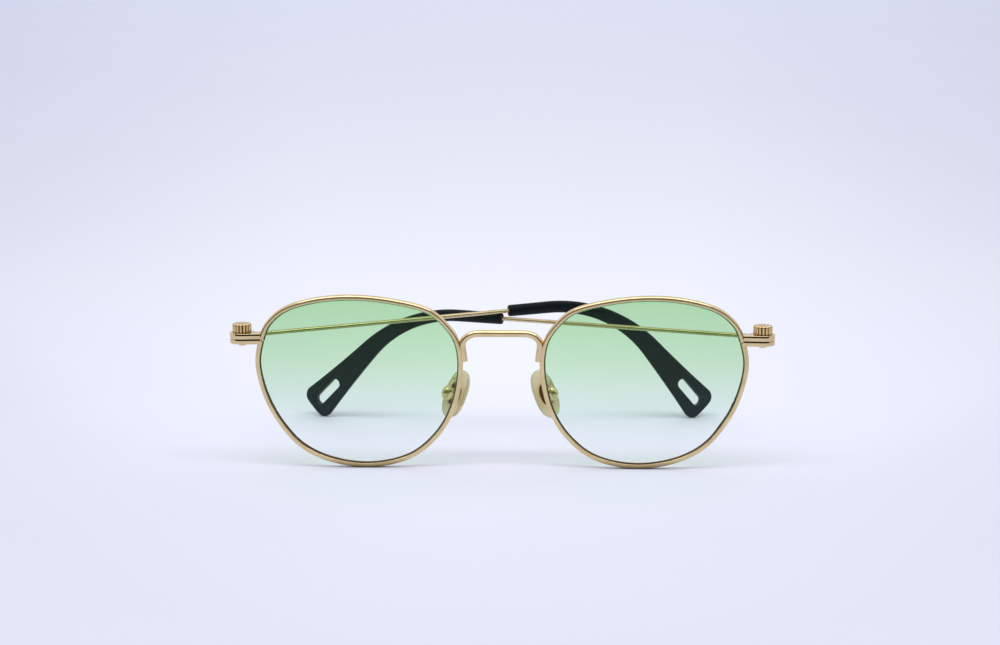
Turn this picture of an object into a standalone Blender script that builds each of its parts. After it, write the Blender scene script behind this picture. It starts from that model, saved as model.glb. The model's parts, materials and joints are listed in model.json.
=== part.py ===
"""Round-eye metal sunglasses, standing on their rims and temple tips with the temples half folded.

Metres, +Z up, +X to the viewer's right from the front, +Y from the front towards the temple tips.
The left side is the one at -X. The driving dimensions come first.
"""

import math

import bmesh
import bpy
import numpy as np
from mathutils import Matrix, Vector

MM = 0.001

# Clearances
JOINT_GAP = 0.06 * MM
SOLDER_GAP = 0.05 * MM
LENS_GAP = 0.06 * MM

# Eye shape of the right side: the rim's outer edge seen from the front, as shares of the eye's
# width (from the nose outwards) and height (from the bottom up)
EYE_WIDTH = 51.2 * MM
EYE_HEIGHT = 44.0 * MM
EYE_GAP = 18.8 * MM
EYE_SHAPE = (
    (0.632, 0.024),
    (0.783, 0.105),
    (0.887, 0.237),
    (0.962, 0.402),
    (1.0, 0.6),
    (0.973, 0.766),
    (0.929, 0.859),
    (0.84, 0.936),
    (0.687, 0.986),
    (0.515, 1.0),
    (0.333, 0.978),
    (0.16, 0.922),
    (0.059, 0.817),
    (0.01, 0.705),
    (0.002, 0.548),
    (0.037, 0.353),
    (0.117, 0.185),
    (0.252, 0.053),
    (0.44, 0.0),
)
FRONT_TILT = math.radians(4.5)
BASE_CURVE_RADIUS = 130.0 * MM
EYE_SEGMENTS = 64
FINE_STEPS = 12

# Rim wire
RIM_WIDTH = 1.2 * MM
RIM_DEPTH = 1.8 * MM
RIM_EDGE_ROUND = 0.35 * MM
GROOVE_DEPTH = 0.42 * MM
GROOVE_WIDTH = 0.9 * MM
RIM_PLANE_Y = -1.5 * MM
RIM_SPLIT_GAP = 0.3 * MM

# Lens
LENS_THICKNESS = 1.5 * MM
LENS_RINGS = 3

# Bridge
BRIDGE_BAR_DIAMETER = 1.7 * MM
BRIDGE_HEIGHT = 34.1 * MM
BRIDGE_STRAIGHT = 12.4 * MM
BRIDGE_SHOULDER_DROP = 3.2 * MM
BRIDGE_FOOT_LENGTH = 3.8 * MM
BRIDGE_FOOT_STANDOFF = 0.35 * MM

# Hinge
HINGE_Z = 32.2 * MM
HINGE_REACH = 4.25 * MM
UPPER_LUG_THICKNESS = 1.55 * MM
LOWER_LUG_THICKNESS = 1.1 * MM
LUG_END_RADIUS = 3.0 * MM
LUG_NECK_HALF_WIDTH = 1.0 * MM
LUG_EDGE_ROUND = 0.35 * MM
LEAF_THICKNESS = 0.8 * MM
LEAF_EYE_RADIUS = 2.1 * MM
LEAF_TONGUE_WIDTH = 1.5 * MM
LEAF_LENGTH = 6.6 * MM
SCREW_SHANK_DIAMETER = 2.0 * MM
SCREW_END_LENGTH = 0.4 * MM
SCREW_END_CHAMFER = 0.25 * MM
SCREW_HEAD_DIAMETER = 4.7 * MM
SCREW_HEAD_HEIGHT = 2.4 * MM
SCREW_HEAD_CROWN = 0.45 * MM
SCREW_HEAD_CHAMFER = 0.12 * MM
SCREW_FLUTES = 16
SCREW_FLUTE_DEPTH = 0.22 * MM

# Temples, with a value for each side where the wearer's adjustment sets it
TEMPLE_FOLD = {"left": math.radians(26.3), "right": math.radians(25.9)}
TEMPLE_RISE = {"left": math.radians(0.3), "right": math.radians(-1.4)}
TIP_DROP = {"left": math.radians(50.5), "right": math.radians(44.5)}
WIRE_DIAMETER = 1.1 * MM
WIRE_CORE_LENGTH = 12.0 * MM
WIRE_LIFT = LEAF_THICKNESS / 2 + SOLDER_GAP + WIRE_DIAMETER / 2
SLEEVE_START = 72.1 * MM
BEND_START = 85.0 * MM
BEND_RADIUS = 40.0 * MM
SLEEVE_HEIGHT = 3.0 * MM
SLEEVE_WIDTH = 2.4 * MM
SLEEVE_BEND_HEIGHT = 3.1 * MM
PADDLE_WIDTH = 9.6 * MM
PADDLE_FLARE = 2.2
PADDLE_THICKNESS = 2.2 * MM
PADDLE_CORNER = 2.6 * MM
PADDLE_EDGE_ROUND = 0.8 * MM
SLOT_LENGTH = 9.6 * MM
SLOT_WIDTH = 2.2 * MM
SLOT_TO_END = 2.1 * MM
TIP_SECTION_POINTS = 20

# Nose pads, for the right side
PAD_AXIS_INSET = {"left": 3.8 * MM, "right": 2.55 * MM}
PAD_AXIS_BEHIND = 8.1 * MM
PAD_AXIS_DROP = 5.6 * MM
PAD_SPLAY = {"left": math.radians(54.0), "right": math.radians(61.0)}
PAD_LEAN = math.radians(20.0)
PAD_LENGTH = 13.0 * MM
PAD_WIDTH = 6.6 * MM
PAD_THICKNESS = 2.3 * MM
PAD_TAPER = 0.1
PAD_FULLNESS = 0.84
PAD_BACK_ROUND = 0.45 * MM
PAD_CROWN = 1.2 * MM
PAD_SECTION_POINTS = 28
PAD_STANDOFF = 1.3 * MM
PAD_OFFSET = 0.6 * MM
PAD_STUD_WIDTH = 1.2 * MM
PAD_STUD_HEIGHT = 2.0 * MM
PAD_STUD_TAIL = 0.9 * MM
PAD_PLATE_WIDTH = 2.4 * MM
PAD_PLATE_HEIGHT = 3.2 * MM
PAD_PLATE_THICKNESS = 0.3 * MM
BOX_WALL = 0.5 * MM
BOX_HEIGHT = 3.4 * MM
BOX_FRONT = 0.55 * MM
BOX_BACK_CLEARANCE = 0.25 * MM
PAD_SCREW_DIAMETER = 0.9 * MM
PAD_SCREW_HEAD_DIAMETER = 1.5 * MM
PAD_SCREW_HEAD_HEIGHT = 0.3 * MM
ARM_DIAMETER = 1.0 * MM
ARM_ROOT_Z = 22.6 * MM
ARM_STRAIGHT = 1.2 * MM
ARM_LOOP = 1.0 * MM

# Colours, with roughness and metallic value
GOLD = ("gold_metal", (0.79, 0.58, 0.28), 0.22, 1.0)
GOLD_SCREW = ("gold_screw", (0.74, 0.53, 0.22), 0.28, 1.0)
GREEN_LENS = ("green_lens", (0.42, 0.72, 0.50), 0.05, 0.0)
BLACK_TIP = ("black_tip", (0.012, 0.018, 0.026), 0.35, 0.0)
PAD_AMBER = ("pad_amber", (0.72, 0.52, 0.33), 0.35, 0.0)

SIDES = {"left": -1.0, "right": 1.0}


def clear_scene():
    for scene_object in list(bpy.data.objects):
        bpy.data.objects.remove(scene_object, do_unlink=True)


def new_collection(name):
    collection = bpy.data.collections.new(name)
    bpy.context.scene.collection.children.link(collection)
    return collection


def material(look):
    name, colour, roughness, metallic = look
    found = bpy.data.materials.get(name)
    if found:
        return found
    made = bpy.data.materials.new(name)
    made.use_nodes = True
    shader = made.node_tree.nodes["Principled BSDF"]
    shader.inputs["Base Color"].default_value = (*colour, 1.0)
    shader.inputs["Roughness"].default_value = roughness
    shader.inputs["Metallic"].default_value = metallic
    made.diffuse_color = (*colour, 1.0)
    return made


def object_from(bm, name, look=None, parent=None, cutter=False):
    """A mesh object from a bmesh, in the parts collection, or as a cutter."""
    bmesh.ops.recalc_face_normals(bm, faces=bm.faces)
    mesh = bpy.data.meshes.new(name)
    bm.to_mesh(mesh)
    bm.free()
    mesh.shade_smooth()
    mesh.set_sharp_from_angle(angle=math.radians(38))
    made = bpy.data.objects.new(name, mesh)
    if look:
        mesh.materials.append(material(look))
    (CUTTERS if cutter else PARTS).objects.link(made)
    if cutter:
        made.hide_render = True
        made.display_type = "WIRE"
    made.parent = parent or ROOT
    return made


def empty(name, matrix, parent=None):
    made = bpy.data.objects.new(name, None)
    made.empty_display_size = SCREW_HEAD_DIAMETER
    PARTS.objects.link(made)
    made.parent = parent or ROOT
    made.matrix_local = matrix
    return made


def boolean(target, tool, operation="DIFFERENCE"):
    modifier = target.modifiers.new(tool.name, "BOOLEAN")
    modifier.operation = operation
    modifier.object = tool
    return modifier


def loft(sections):
    """A skin through rings of equal length, with a flat face on each end."""
    bm = bmesh.new()
    rings = [[bm.verts.new(p) for p in section] for section in sections]
    for lower, upper in zip(rings, rings[1:]):
        for i in range(len(lower)):
            j = (i + 1) % len(lower)
            bm.faces.new((lower[i], lower[j], upper[j], upper[i]))
    bm.faces.new(rings[0])
    bm.faces.new(rings[-1])
    return bm


def cylinder(radius, length, segments, matrix=None):
    """A closed cylinder about +Z, from z = 0 up, as a bmesh."""
    bm = bmesh.new()
    bmesh.ops.create_cone(
        bm,
        cap_ends=True,
        segments=segments,
        radius1=radius,
        radius2=radius,
        depth=length,
        matrix=Matrix.Translation((0, 0, length / 2)),
    )
    if matrix:
        bmesh.ops.transform(bm, matrix=matrix, verts=bm.verts)
    return bm


def block(low, high, matrix=None):
    """A box between two corners, as a bmesh."""
    bm = bmesh.new()
    low = Vector(low)
    high = Vector(high)
    size = high - low
    place = Matrix.Translation((low + high) / 2) @ Matrix.Diagonal((*size, 1.0))
    bmesh.ops.create_cube(bm, size=1.0, matrix=place)
    if matrix:
        bmesh.ops.transform(bm, matrix=matrix, verts=bm.verts)
    return bm


def prism(outline, low, high, matrix=None):
    """A flat outline in X and Y, raised from z = low to z = high, as a bmesh."""
    bm = loft([[Vector((x, y, z)) for x, y in outline] for z in (low, high)])
    if matrix:
        bmesh.ops.transform(bm, matrix=matrix, verts=bm.verts)
    return bm


def tube(name, points, radius, look, resolution=3):
    """A round wire along points, as a mesh object with welded caps."""
    curve = bpy.data.curves.new(name, "CURVE")
    curve.dimensions = "3D"
    curve.bevel_depth = radius
    curve.bevel_resolution = resolution
    curve.use_fill_caps = True
    spline = curve.splines.new("POLY")
    spline.points.add(len(points) - 1)
    for target, point in zip(spline.points, points):
        target.co = (*point, 1.0)
    return mesh_from_curve(curve, name, look)


def mesh_from_curve(curve, name, look, cutter=False):
    """Turn a curve into a mesh object, weld its caps and drop the curve."""
    source = bpy.data.objects.new(name + "_curve", curve)
    bpy.context.scene.collection.objects.link(source)
    source.parent = ROOT
    bpy.context.view_layer.update()
    evaluated = source.evaluated_get(bpy.context.evaluated_depsgraph_get())
    mesh = bpy.data.meshes.new_from_object(evaluated)
    bm = bmesh.new()
    bm.from_mesh(mesh)
    bmesh.ops.remove_doubles(bm, verts=bm.verts, dist=0.001 * MM)
    bpy.data.objects.remove(source, do_unlink=True)
    bpy.data.meshes.remove(mesh)
    return object_from(bm, name, look, cutter=cutter)


def smooth_through(points, steps):
    """Points on a smooth open curve through the given ones."""
    points = [Vector(p) for p in points]
    padded = [2 * points[0] - points[1], *points, 2 * points[-1] - points[-2]]
    out = []
    for a, b, c, d in zip(padded, padded[1:], padded[2:], padded[3:]):
        for i in range(steps):
            out.append(catmull(a, b, c, d, i / steps))
    out.append(points[-1])
    return out


def catmull(a, b, c, d, t):
    return 0.5 * (
        2 * b
        + (c - a) * t
        + (2 * a - 5 * b + 4 * c - d) * t**2
        + (3 * b - a - 3 * c + d) * t**3
    )


def eye_path():
    """The rim's outer edge on the right side as fine points (x, z), closed.

    It starts on the temple side at the hinge's height and runs over the top.
    """
    inner = EYE_GAP / 2
    corners = [Vector((inner + u * EYE_WIDTH, v * EYE_HEIGHT)) for u, v in EYE_SHAPE]
    count = len(corners)
    fine = []
    for k in range(count):
        a, b, c, d = (corners[(k + n) % count] for n in (-1, 0, 1, 2))
        fine += [catmull(a, b, c, d, i / FINE_STEPS) for i in range(FINE_STEPS)]
    start = next(
        k for k, p in enumerate(fine) if p.x > EYE_CENTRE.x and p.y <= HINGE_Z < fine[k + 1].y
    )
    share = (HINGE_Z - fine[start].y) / (fine[start + 1].y - fine[start].y)
    first = fine[start].lerp(fine[start + 1], share)
    return [first, *fine[start + 1 :], *fine[: start + 1], first]


class EyeWalk:
    """Even steps round the rim's outer edge, with the direction inwards at each."""

    def __init__(self, path):
        self.along = np.cumsum([0.0] + [(q - p).length for p, q in zip(path, path[1:])])
        self.length = self.along[-1]
        self.xs = [p.x for p in path]
        self.zs = [p.y for p in path]

    def place(self, distance):
        distance %= self.length
        x = np.interp(distance, self.along, self.xs)
        return Vector((x, np.interp(distance, self.along, self.zs)))

    def inwards(self, distance):
        reach = self.length / EYE_SEGMENTS / 2
        ahead = (self.place(distance + reach) - self.place(distance - reach)).normalized()
        return Vector((-ahead.y, ahead.x))

    def line(self, offset, distances):
        return [self.place(d) + self.inwards(d) * offset for d in distances]

    def closed(self, offset):
        return self.line(offset, np.linspace(0.0, self.length, EYE_SEGMENTS, endpoint=False))

    def split(self, offset, gap):
        steps = np.linspace(gap / 2, self.length - gap / 2, EYE_SEGMENTS + 1)
        return self.line(offset, steps)


def face_depth(x, z):
    """How far the curved front lies behind its foremost point, at a place on the right side."""
    across = math.hypot(x - EYE_CENTRE.x, z - EYE_CENTRE.y)
    return BASE_CURVE_RADIUS - math.sqrt(BASE_CURVE_RADIUS**2 - across**2)


EYE_CENTRE = Vector(((EYE_GAP + EYE_WIDTH) / 2, EYE_HEIGHT / 2))
EYE = EyeWalk(eye_path())
HINGE_EDGE = EYE.place(0.0)
HINGE_X = HINGE_EDGE.x + HINGE_REACH


def rim_depth(x, z):
    """Y of the rim wire's middle at a place on the right side."""
    tilt = (HINGE_Z - z) * math.tan(FRONT_TILT)
    return RIM_PLANE_Y + face_depth(x, z) - face_depth(*HINGE_EDGE) + tilt


def nasal_edge(height):
    """X of the rim's outer edge beside the nose at a height."""
    beside = [p for p in eye_path() if p.x < EYE_CENTRE.x]
    return min(beside, key=lambda p: abs(p.y - height)).x


def rim_profile():
    """The rim wire's section: (distance inwards from its outer edge, depth)."""
    half = RIM_DEPTH / 2
    lip = GROOVE_WIDTH / 2
    round_in = RIM_EDGE_ROUND * 0.6
    return [
        (0.0, -half + 1.6 * RIM_EDGE_ROUND),
        (RIM_EDGE_ROUND * 0.3, -half + RIM_EDGE_ROUND * 0.5),
        (RIM_EDGE_ROUND, -half),
        (RIM_WIDTH - round_in, -half),
        (RIM_WIDTH, -half + round_in),
        (RIM_WIDTH, -lip),
        (RIM_WIDTH - GROOVE_DEPTH, 0.0),
        (RIM_WIDTH, lip),
        (RIM_WIDTH, half - round_in),
        (RIM_WIDTH - round_in, half),
        (RIM_EDGE_ROUND, half),
        (RIM_EDGE_ROUND * 0.3, half - RIM_EDGE_ROUND * 0.5),
        (0.0, half - 1.6 * RIM_EDGE_ROUND),
    ]


def on_front(line, depth):
    """A line round the eye, laid on the curved front and pushed back by depth."""
    return [Vector((p.x, rim_depth(p.x, p.y) + depth, p.y)) for p in line]


def mirrored(points, sign):
    return [Vector((sign * p.x, p.y, p.z)) for p in points]


def make_rim(side, sign):
    """The eye wire: one grooved wire bent round the lens, open at the hinge."""
    lines = [
        mirrored(on_front(EYE.split(offset, RIM_SPLIT_GAP), depth), sign)
        for offset, depth in rim_profile()
    ]
    sections = [list(section) for section in zip(*lines)]
    return object_from(loft(sections), side + "_rim", GOLD)


def rim_envelope(side, sign):
    """The rim's outer shape with the solder gap, which trims what is fixed to it."""
    edge = EYE.closed(-SOLDER_GAP)
    reach = 3 * RIM_DEPTH
    rings = [mirrored(on_front(edge, depth), sign) for depth in (-reach, reach)]
    return object_from(loft(rings), side + "_rim_envelope", cutter=True)


def make_lens(side, sign):
    """A curved lens with a ridge round its edge that sits in the rim's groove."""
    half = LENS_THICKNESS / 2
    seat = RIM_WIDTH + LENS_GAP
    ridge = half * 0.55
    edge = EYE.closed(seat)
    apex = EYE.closed(seat - GROOVE_DEPTH)
    rings = []
    for k in range(1, LENS_RINGS + 1):
        rings.append((k / LENS_RINGS, edge, -half))
    rings.append((1.0, edge, -ridge))
    rings.append((1.0, apex, 0.0))
    rings.append((1.0, edge, ridge))
    for k in range(LENS_RINGS, 0, -1):
        rings.append((k / LENS_RINGS, edge, half))
    sections = []
    for share, line, depth in rings:
        points = [EYE_CENTRE.lerp(p, share) for p in line]
        sections.append(on_front(points, depth))
    bm = loft([mirrored(s, sign) for s in sections])
    return object_from(bm, side + "_lens", GREEN_LENS)


def make_bridge(envelopes):
    """A round bar with a foot soldered down the inner side of each rim."""
    shoulder = BRIDGE_HEIGHT - BRIDGE_SHOULDER_DROP
    foot = shoulder - BRIDGE_FOOT_LENGTH
    edge = nasal_edge(shoulder) - BRIDGE_FOOT_STANDOFF
    low_edge = nasal_edge(foot) - BRIDGE_FOOT_STANDOFF
    depth = rim_depth(edge, shoulder)
    rise = BRIDGE_SHOULDER_DROP
    side = BRIDGE_STRAIGHT / 2
    half = [
        (low_edge, depth, foot),
        ((low_edge + edge) / 2, depth, (foot + shoulder) / 2),
        (edge, depth, shoulder),
        (edge + (side - edge) * 0.04, depth, shoulder + rise * 0.42),
        (edge + (side - edge) * 0.24, depth, shoulder + rise * 0.74),
        (edge + (side - edge) * 0.56, depth, shoulder + rise * 0.93),
        (side, depth, BRIDGE_HEIGHT),
        (side * 0.2, depth, BRIDGE_HEIGHT),
    ]
    points = half + [(-x, y, z) for x, y, z in reversed(half)]
    bridge = tube("bridge", smooth_through(points, 3), BRIDGE_BAR_DIAMETER / 2, GOLD, 3)
    for envelope in envelopes:
        boolean(bridge, envelope)
    return bridge


def arc(centre, radius, start, end, steps):
    """Points (x, y) on an arc, both ends included."""
    return [
        (
            centre[0] + radius * math.cos(start + (end - start) * k / steps),
            centre[1] + radius * math.sin(start + (end - start) * k / steps),
        )
        for k in range(steps + 1)
    ]


def lug_outline(sign):
    """A lug from above: a round end about the screw and a neck that reaches the rim."""
    reach = HINGE_REACH + RIM_WIDTH / 2
    neck_y = rim_depth(*HINGE_EDGE)
    right = [(-reach, neck_y - LUG_NECK_HALF_WIDTH)]
    right += arc((0.0, 0.0), LUG_END_RADIUS, math.radians(-100), math.radians(115), 22)
    right += [(-reach, neck_y + LUG_NECK_HALF_WIDTH)]
    return [(sign * x, y) for x, y in right]


def make_lug(side, sign, place, upper, envelope):
    """One of the two lugs that close the rim, recessed at the back for the temple's leaf."""
    level = "upper" if upper else "lower"
    inner = JOINT_GAP / 2
    outer = UPPER_LUG_THICKNESS if upper else LOWER_LUG_THICKNESS
    low, high = (inner, outer) if upper else (-outer, -inner)
    name = f"{side}_{level}_lug"
    bm = prism(lug_outline(sign), low, high, place)
    lug = object_from(bm, name, GOLD)
    bevel = lug.modifiers.new("edge_round", "BEVEL")
    bevel.width = LUG_EDGE_ROUND
    bevel.segments = 2
    bevel.limit_method = "ANGLE"
    bevel.angle_limit = math.radians(50)
    boolean(lug, envelope)
    recess = LEAF_THICKNESS / 2 + JOINT_GAP
    back = LUG_END_RADIUS * 2
    front = -(LEAF_EYE_RADIUS + JOINT_GAP)
    pocket = prism(
        pocket_outline(sign, front, back),
        -recess if not upper else -recess / 2,
        recess if upper else recess / 2,
        place,
    )
    boolean(lug, object_from(pocket, name + "_pocket", cutter=True))
    hole = cylinder(
        SCREW_SHANK_DIAMETER / 2 + JOINT_GAP,
        UPPER_LUG_THICKNESS * 4,
        28,
        place @ Matrix.Translation((0, 0, -UPPER_LUG_THICKNESS * 2)),
    )
    boolean(lug, object_from(hole, name + "_hole", cutter=True))
    return lug


def pocket_outline(sign, front, back):
    """The leaf's room from above: round in front of the screw, open to the back."""
    radius = -front
    inner = arc((0.0, 0.0), radius, math.radians(180), math.radians(360), 20)
    reach = LUG_END_RADIUS * 2
    side = radius * 0.1
    outline = [(-reach, back), (-reach, -side), *inner[2:-2], (reach, side), (reach, back)]
    return [(sign * x, y) for x, y in outline]


def make_hinge_screw(side, place):
    """The pivot screw: a fluted head, a shank through lugs and leaf, and a rounded end."""
    steps = SCREW_FLUTES * 4
    top = UPPER_LUG_THICKNESS + JOINT_GAP
    radius = SCREW_HEAD_DIAMETER / 2

    def ring(height, size, depth):
        out = []
        for k in range(steps):
            angle = 2 * math.pi * k / steps
            r = size - depth * (0.5 - 0.5 * math.cos(SCREW_FLUTES * angle))
            out.append(Vector((r * math.cos(angle), r * math.sin(angle), height)))
        return out

    crown = SCREW_HEAD_CROWN
    head = loft(
        [
            ring(top, radius - SCREW_HEAD_CHAMFER, SCREW_FLUTE_DEPTH),
            ring(top + SCREW_HEAD_CHAMFER, radius, SCREW_FLUTE_DEPTH),
            ring(top + SCREW_HEAD_HEIGHT - crown, radius, SCREW_FLUTE_DEPTH),
            ring(top + SCREW_HEAD_HEIGHT, radius - crown, 0.0),
        ]
    )
    bmesh.ops.transform(head, matrix=place, verts=head.verts)
    screw = object_from(head, side + "_hinge_screw", GOLD_SCREW)
    shank = shank_object(side, top)
    shank.matrix_local = place
    boolean(screw, shank, "UNION")
    return screw


def shank_object(side, top):
    """The screw's shank, turned from its profile."""
    r = SCREW_SHANK_DIAMETER / 2
    end = -LOWER_LUG_THICKNESS - SCREW_END_LENGTH
    into_head = top + SCREW_HEAD_HEIGHT / 4
    profile = [
        (0.0, into_head),
        (r, into_head),
        (r, end + SCREW_END_CHAMFER),
        (r - SCREW_END_CHAMFER, end),
        (0.0, end),
    ]
    bm = bmesh.new()
    verts = [bm.verts.new((x, 0.0, z)) for x, z in profile]
    for a, b in zip(verts, verts[1:]):
        bm.edges.new((a, b))
    shank = object_from(bm, side + "_shank", GOLD_SCREW, cutter=True)
    turn = shank.modifiers.new("turn", "SCREW")
    turn.axis = "Z"
    turn.steps = 28
    turn.render_steps = 28
    turn.use_merge_vertices = True
    turn.merge_threshold = 0.001 * MM
    turn.use_normal_calculate = True
    return shank


def make_leaf(side, hinge):
    """The flat leaf that turns on the screw, between the lugs, with a tongue for the wire."""
    half = LEAF_TONGUE_WIDTH / 2
    meet = math.asin(half / LEAF_EYE_RADIUS)
    outline = [(LEAF_LENGTH, -half), (LEAF_LENGTH, half)]
    outline += arc((0.0, 0.0), LEAF_EYE_RADIUS, meet, 2 * math.pi - meet, 26)
    leaf = object_from(
        prism(outline, -LEAF_THICKNESS / 2, LEAF_THICKNESS / 2), side + "_temple_leaf", GOLD, hinge
    )
    hole = cylinder(
        SCREW_SHANK_DIAMETER / 2 + JOINT_GAP,
        LEAF_THICKNESS * 4,
        28,
        Matrix.Translation((0, 0, -LEAF_THICKNESS * 2)),
    )
    boolean(leaf, object_from(hole, side + "_leaf_hole", parent=hinge, cutter=True))
    return leaf


class TemplePlane:
    """The temple seen from its side: places as (distance from the hinge, height above it)."""

    def __init__(self, side):
        self.rise = TEMPLE_RISE[side]
        self.drop = TIP_DROP[side]
        self.turn = self.rise + self.drop
        self.lift = WIRE_LIFT + max(0.0, -math.sin(self.rise)) * LEAF_LENGTH
        self.bend_start = self.on_straight(BEND_START)
        along = Vector((math.cos(self.rise), math.sin(self.rise)))
        down = Vector((along.y, -along.x))
        self.centre = self.bend_start + down * BEND_RADIUS
        self.bend_end, self.last = self.on_bend(self.turn)
        inner = Vector((-self.last.y, self.last.x)) * -(PADDLE_WIDTH / 2)
        corner = self.last * -PADDLE_CORNER - inner.normalized() * PADDLE_CORNER
        lowest = inner.y + corner.y - PADDLE_CORNER
        self.run = (self.bend_end.y + HINGE_Z + lowest) / math.sin(self.drop)
        self.length = BEND_START + BEND_RADIUS * self.turn + self.run

    def on_straight(self, s):
        return Vector((s * math.cos(self.rise), self.lift + s * math.sin(self.rise)))

    def on_bend(self, angle):
        heading = self.rise - angle
        out = Vector((-math.sin(heading), math.cos(heading)))
        return self.centre + out * BEND_RADIUS, Vector((math.cos(heading), math.sin(heading)))

    def at(self, s):
        """(place, heading) at a distance along the centre line."""
        if s <= BEND_START:
            return self.on_straight(s), Vector((math.cos(self.rise), math.sin(self.rise)))
        angle = (s - BEND_START) / BEND_RADIUS
        if angle <= self.turn:
            return self.on_bend(angle)
        past = s - BEND_START - BEND_RADIUS * self.turn
        return self.bend_end + self.last * past, self.last


def in_temple(place):
    return Vector((place.x, 0.0, place.y))


def make_wire(side, hinge, plane):
    """The temple's round spring wire, from the leaf's tongue into the sleeve's bore."""
    start = LUG_END_RADIUS + LUG_EDGE_ROUND
    end = SLEEVE_START + WIRE_CORE_LENGTH
    points = [in_temple(plane.on_straight(s)) for s in np.linspace(start, end, 8)]
    wire = tube(side + "_temple_wire", points, WIRE_DIAMETER / 2, GOLD, 3)
    wire.parent = hinge
    return wire


def tip_size(plane, s):
    """(half height in the temple's plane, half thickness) of the sleeve and paddle."""
    bend_end = BEND_START + BEND_RADIUS * plane.turn
    if s <= BEND_START:
        t = (s - SLEEVE_START) / (BEND_START - SLEEVE_START)
        height = SLEEVE_HEIGHT + (SLEEVE_BEND_HEIGHT - SLEEVE_HEIGHT) * t
    else:
        t = min(1.0, (s - BEND_START) / (plane.length - PADDLE_CORNER - BEND_START))
        height = SLEEVE_BEND_HEIGHT + (PADDLE_WIDTH - SLEEVE_BEND_HEIGHT) * t**PADDLE_FLARE
    share = min(1.0, (s - SLEEVE_START) / (bend_end - SLEEVE_START))
    width = SLEEVE_WIDTH + (PADDLE_THICKNESS - SLEEVE_WIDTH) * share
    half_height = height / 2
    into_corner = s - (plane.length - PADDLE_CORNER)
    if into_corner > 0:
        fall = PADDLE_CORNER - math.sqrt(max(0.0, PADDLE_CORNER**2 - into_corner**2))
        half_height -= fall
    into_edge = s - (plane.length - PADDLE_EDGE_ROUND)
    half_width = width / 2
    if into_edge > 0:
        half_width -= PADDLE_EDGE_ROUND - math.sqrt(max(0.0, PADDLE_EDGE_ROUND**2 - into_edge**2))
    return half_height, half_width


def make_tip(side, hinge, plane):
    """The moulded sleeve, bent down behind the ear and flattened into a slotted paddle."""
    bend_end = BEND_START + BEND_RADIUS * plane.turn
    stations = list(np.linspace(SLEEVE_START, BEND_START, 4))
    stations += list(np.linspace(BEND_START, bend_end, 11))[1:]
    stations += list(np.linspace(bend_end, plane.length - PADDLE_CORNER, 8))[1:]
    for k in range(1, 7):
        stations.append(plane.length - PADDLE_CORNER * (1 - math.sin(math.radians(13.5 * k))))
    sections = []
    for s in stations:
        place, heading = plane.at(s)
        across = Vector((-heading.y, heading.x))
        half_height, half_width = tip_size(plane, s)
        power = 2.0 + 1.2 * min(1.0, (s - SLEEVE_START) / (bend_end - SLEEVE_START))
        ring = []
        for k in range(TIP_SECTION_POINTS):
            angle = 2 * math.pi * k / TIP_SECTION_POINTS
            up = signed_power(math.sin(angle), 2 / power) * half_height
            out = signed_power(math.cos(angle), 2 / power) * half_width
            point = place + across * up
            ring.append(Vector((point.x, out, point.y)))
        sections.append(ring)
    tip = object_from(loft(sections), side + "_temple_tip", BLACK_TIP, hinge)
    boolean(tip, bore_cutter(side, hinge, plane))
    boolean(tip, slot_cutter(side, hinge, plane))
    return tip


def signed_power(value, power):
    return math.copysign(abs(value) ** power, value)


def bore_cutter(side, hinge, plane):
    """The bore that takes the wire."""
    extra = WIRE_DIAMETER
    start = in_temple(plane.on_straight(SLEEVE_START - extra))
    aim = in_temple(plane.on_straight(BEND_START)) - start
    place = Matrix.Translation(start) @ aim.to_track_quat("Z", "X").to_matrix().to_4x4()
    length = extra + WIRE_CORE_LENGTH + 2 * JOINT_GAP
    bm = cylinder(WIRE_DIAMETER / 2 + JOINT_GAP, length, 16, place)
    return object_from(bm, side + "_bore", parent=hinge, cutter=True)


def slot_cutter(side, hinge, plane):
    """The long hole through the paddle."""
    far, heading = plane.at(plane.length - SLOT_TO_END)
    half_run = (SLOT_LENGTH - SLOT_WIDTH) / 2
    middle = far - heading * (half_run + SLOT_WIDTH / 2)
    r = SLOT_WIDTH / 2
    outline = arc((half_run, 0.0), r, -math.pi / 2, math.pi / 2, 8)
    outline += arc((-half_run, 0.0), r, math.pi / 2, 3 * math.pi / 2, 8)
    across = Vector((-heading.y, heading.x))
    axes = Matrix(
        (
            (heading.x, across.x, 0.0, middle.x),
            (0.0, 0.0, 1.0, 0.0),
            (heading.y, across.y, 0.0, middle.y),
            (0.0, 0.0, 0.0, 1.0),
        )
    )
    bm = prism(outline, -PADDLE_THICKNESS, PADDLE_THICKNESS, axes)
    return object_from(bm, side + "_slot", parent=hinge, cutter=True)


def make_temple(side, sign):
    """One temple on its hinge axis: the empty's +X runs along the folded temple."""
    fold = TEMPLE_FOLD[side]
    heading = Vector((-sign * math.cos(fold), math.sin(fold), 0.0))
    turn = Matrix.Rotation(math.atan2(heading.y, heading.x), 4, "Z")
    hinge = empty(side + "_temple_axis", Matrix.Translation((sign * HINGE_X, 0.0, HINGE_Z)) @ turn)
    plane = TemplePlane(side)
    make_leaf(side, hinge)
    make_wire(side, hinge, plane)
    make_tip(side, hinge, plane)


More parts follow.
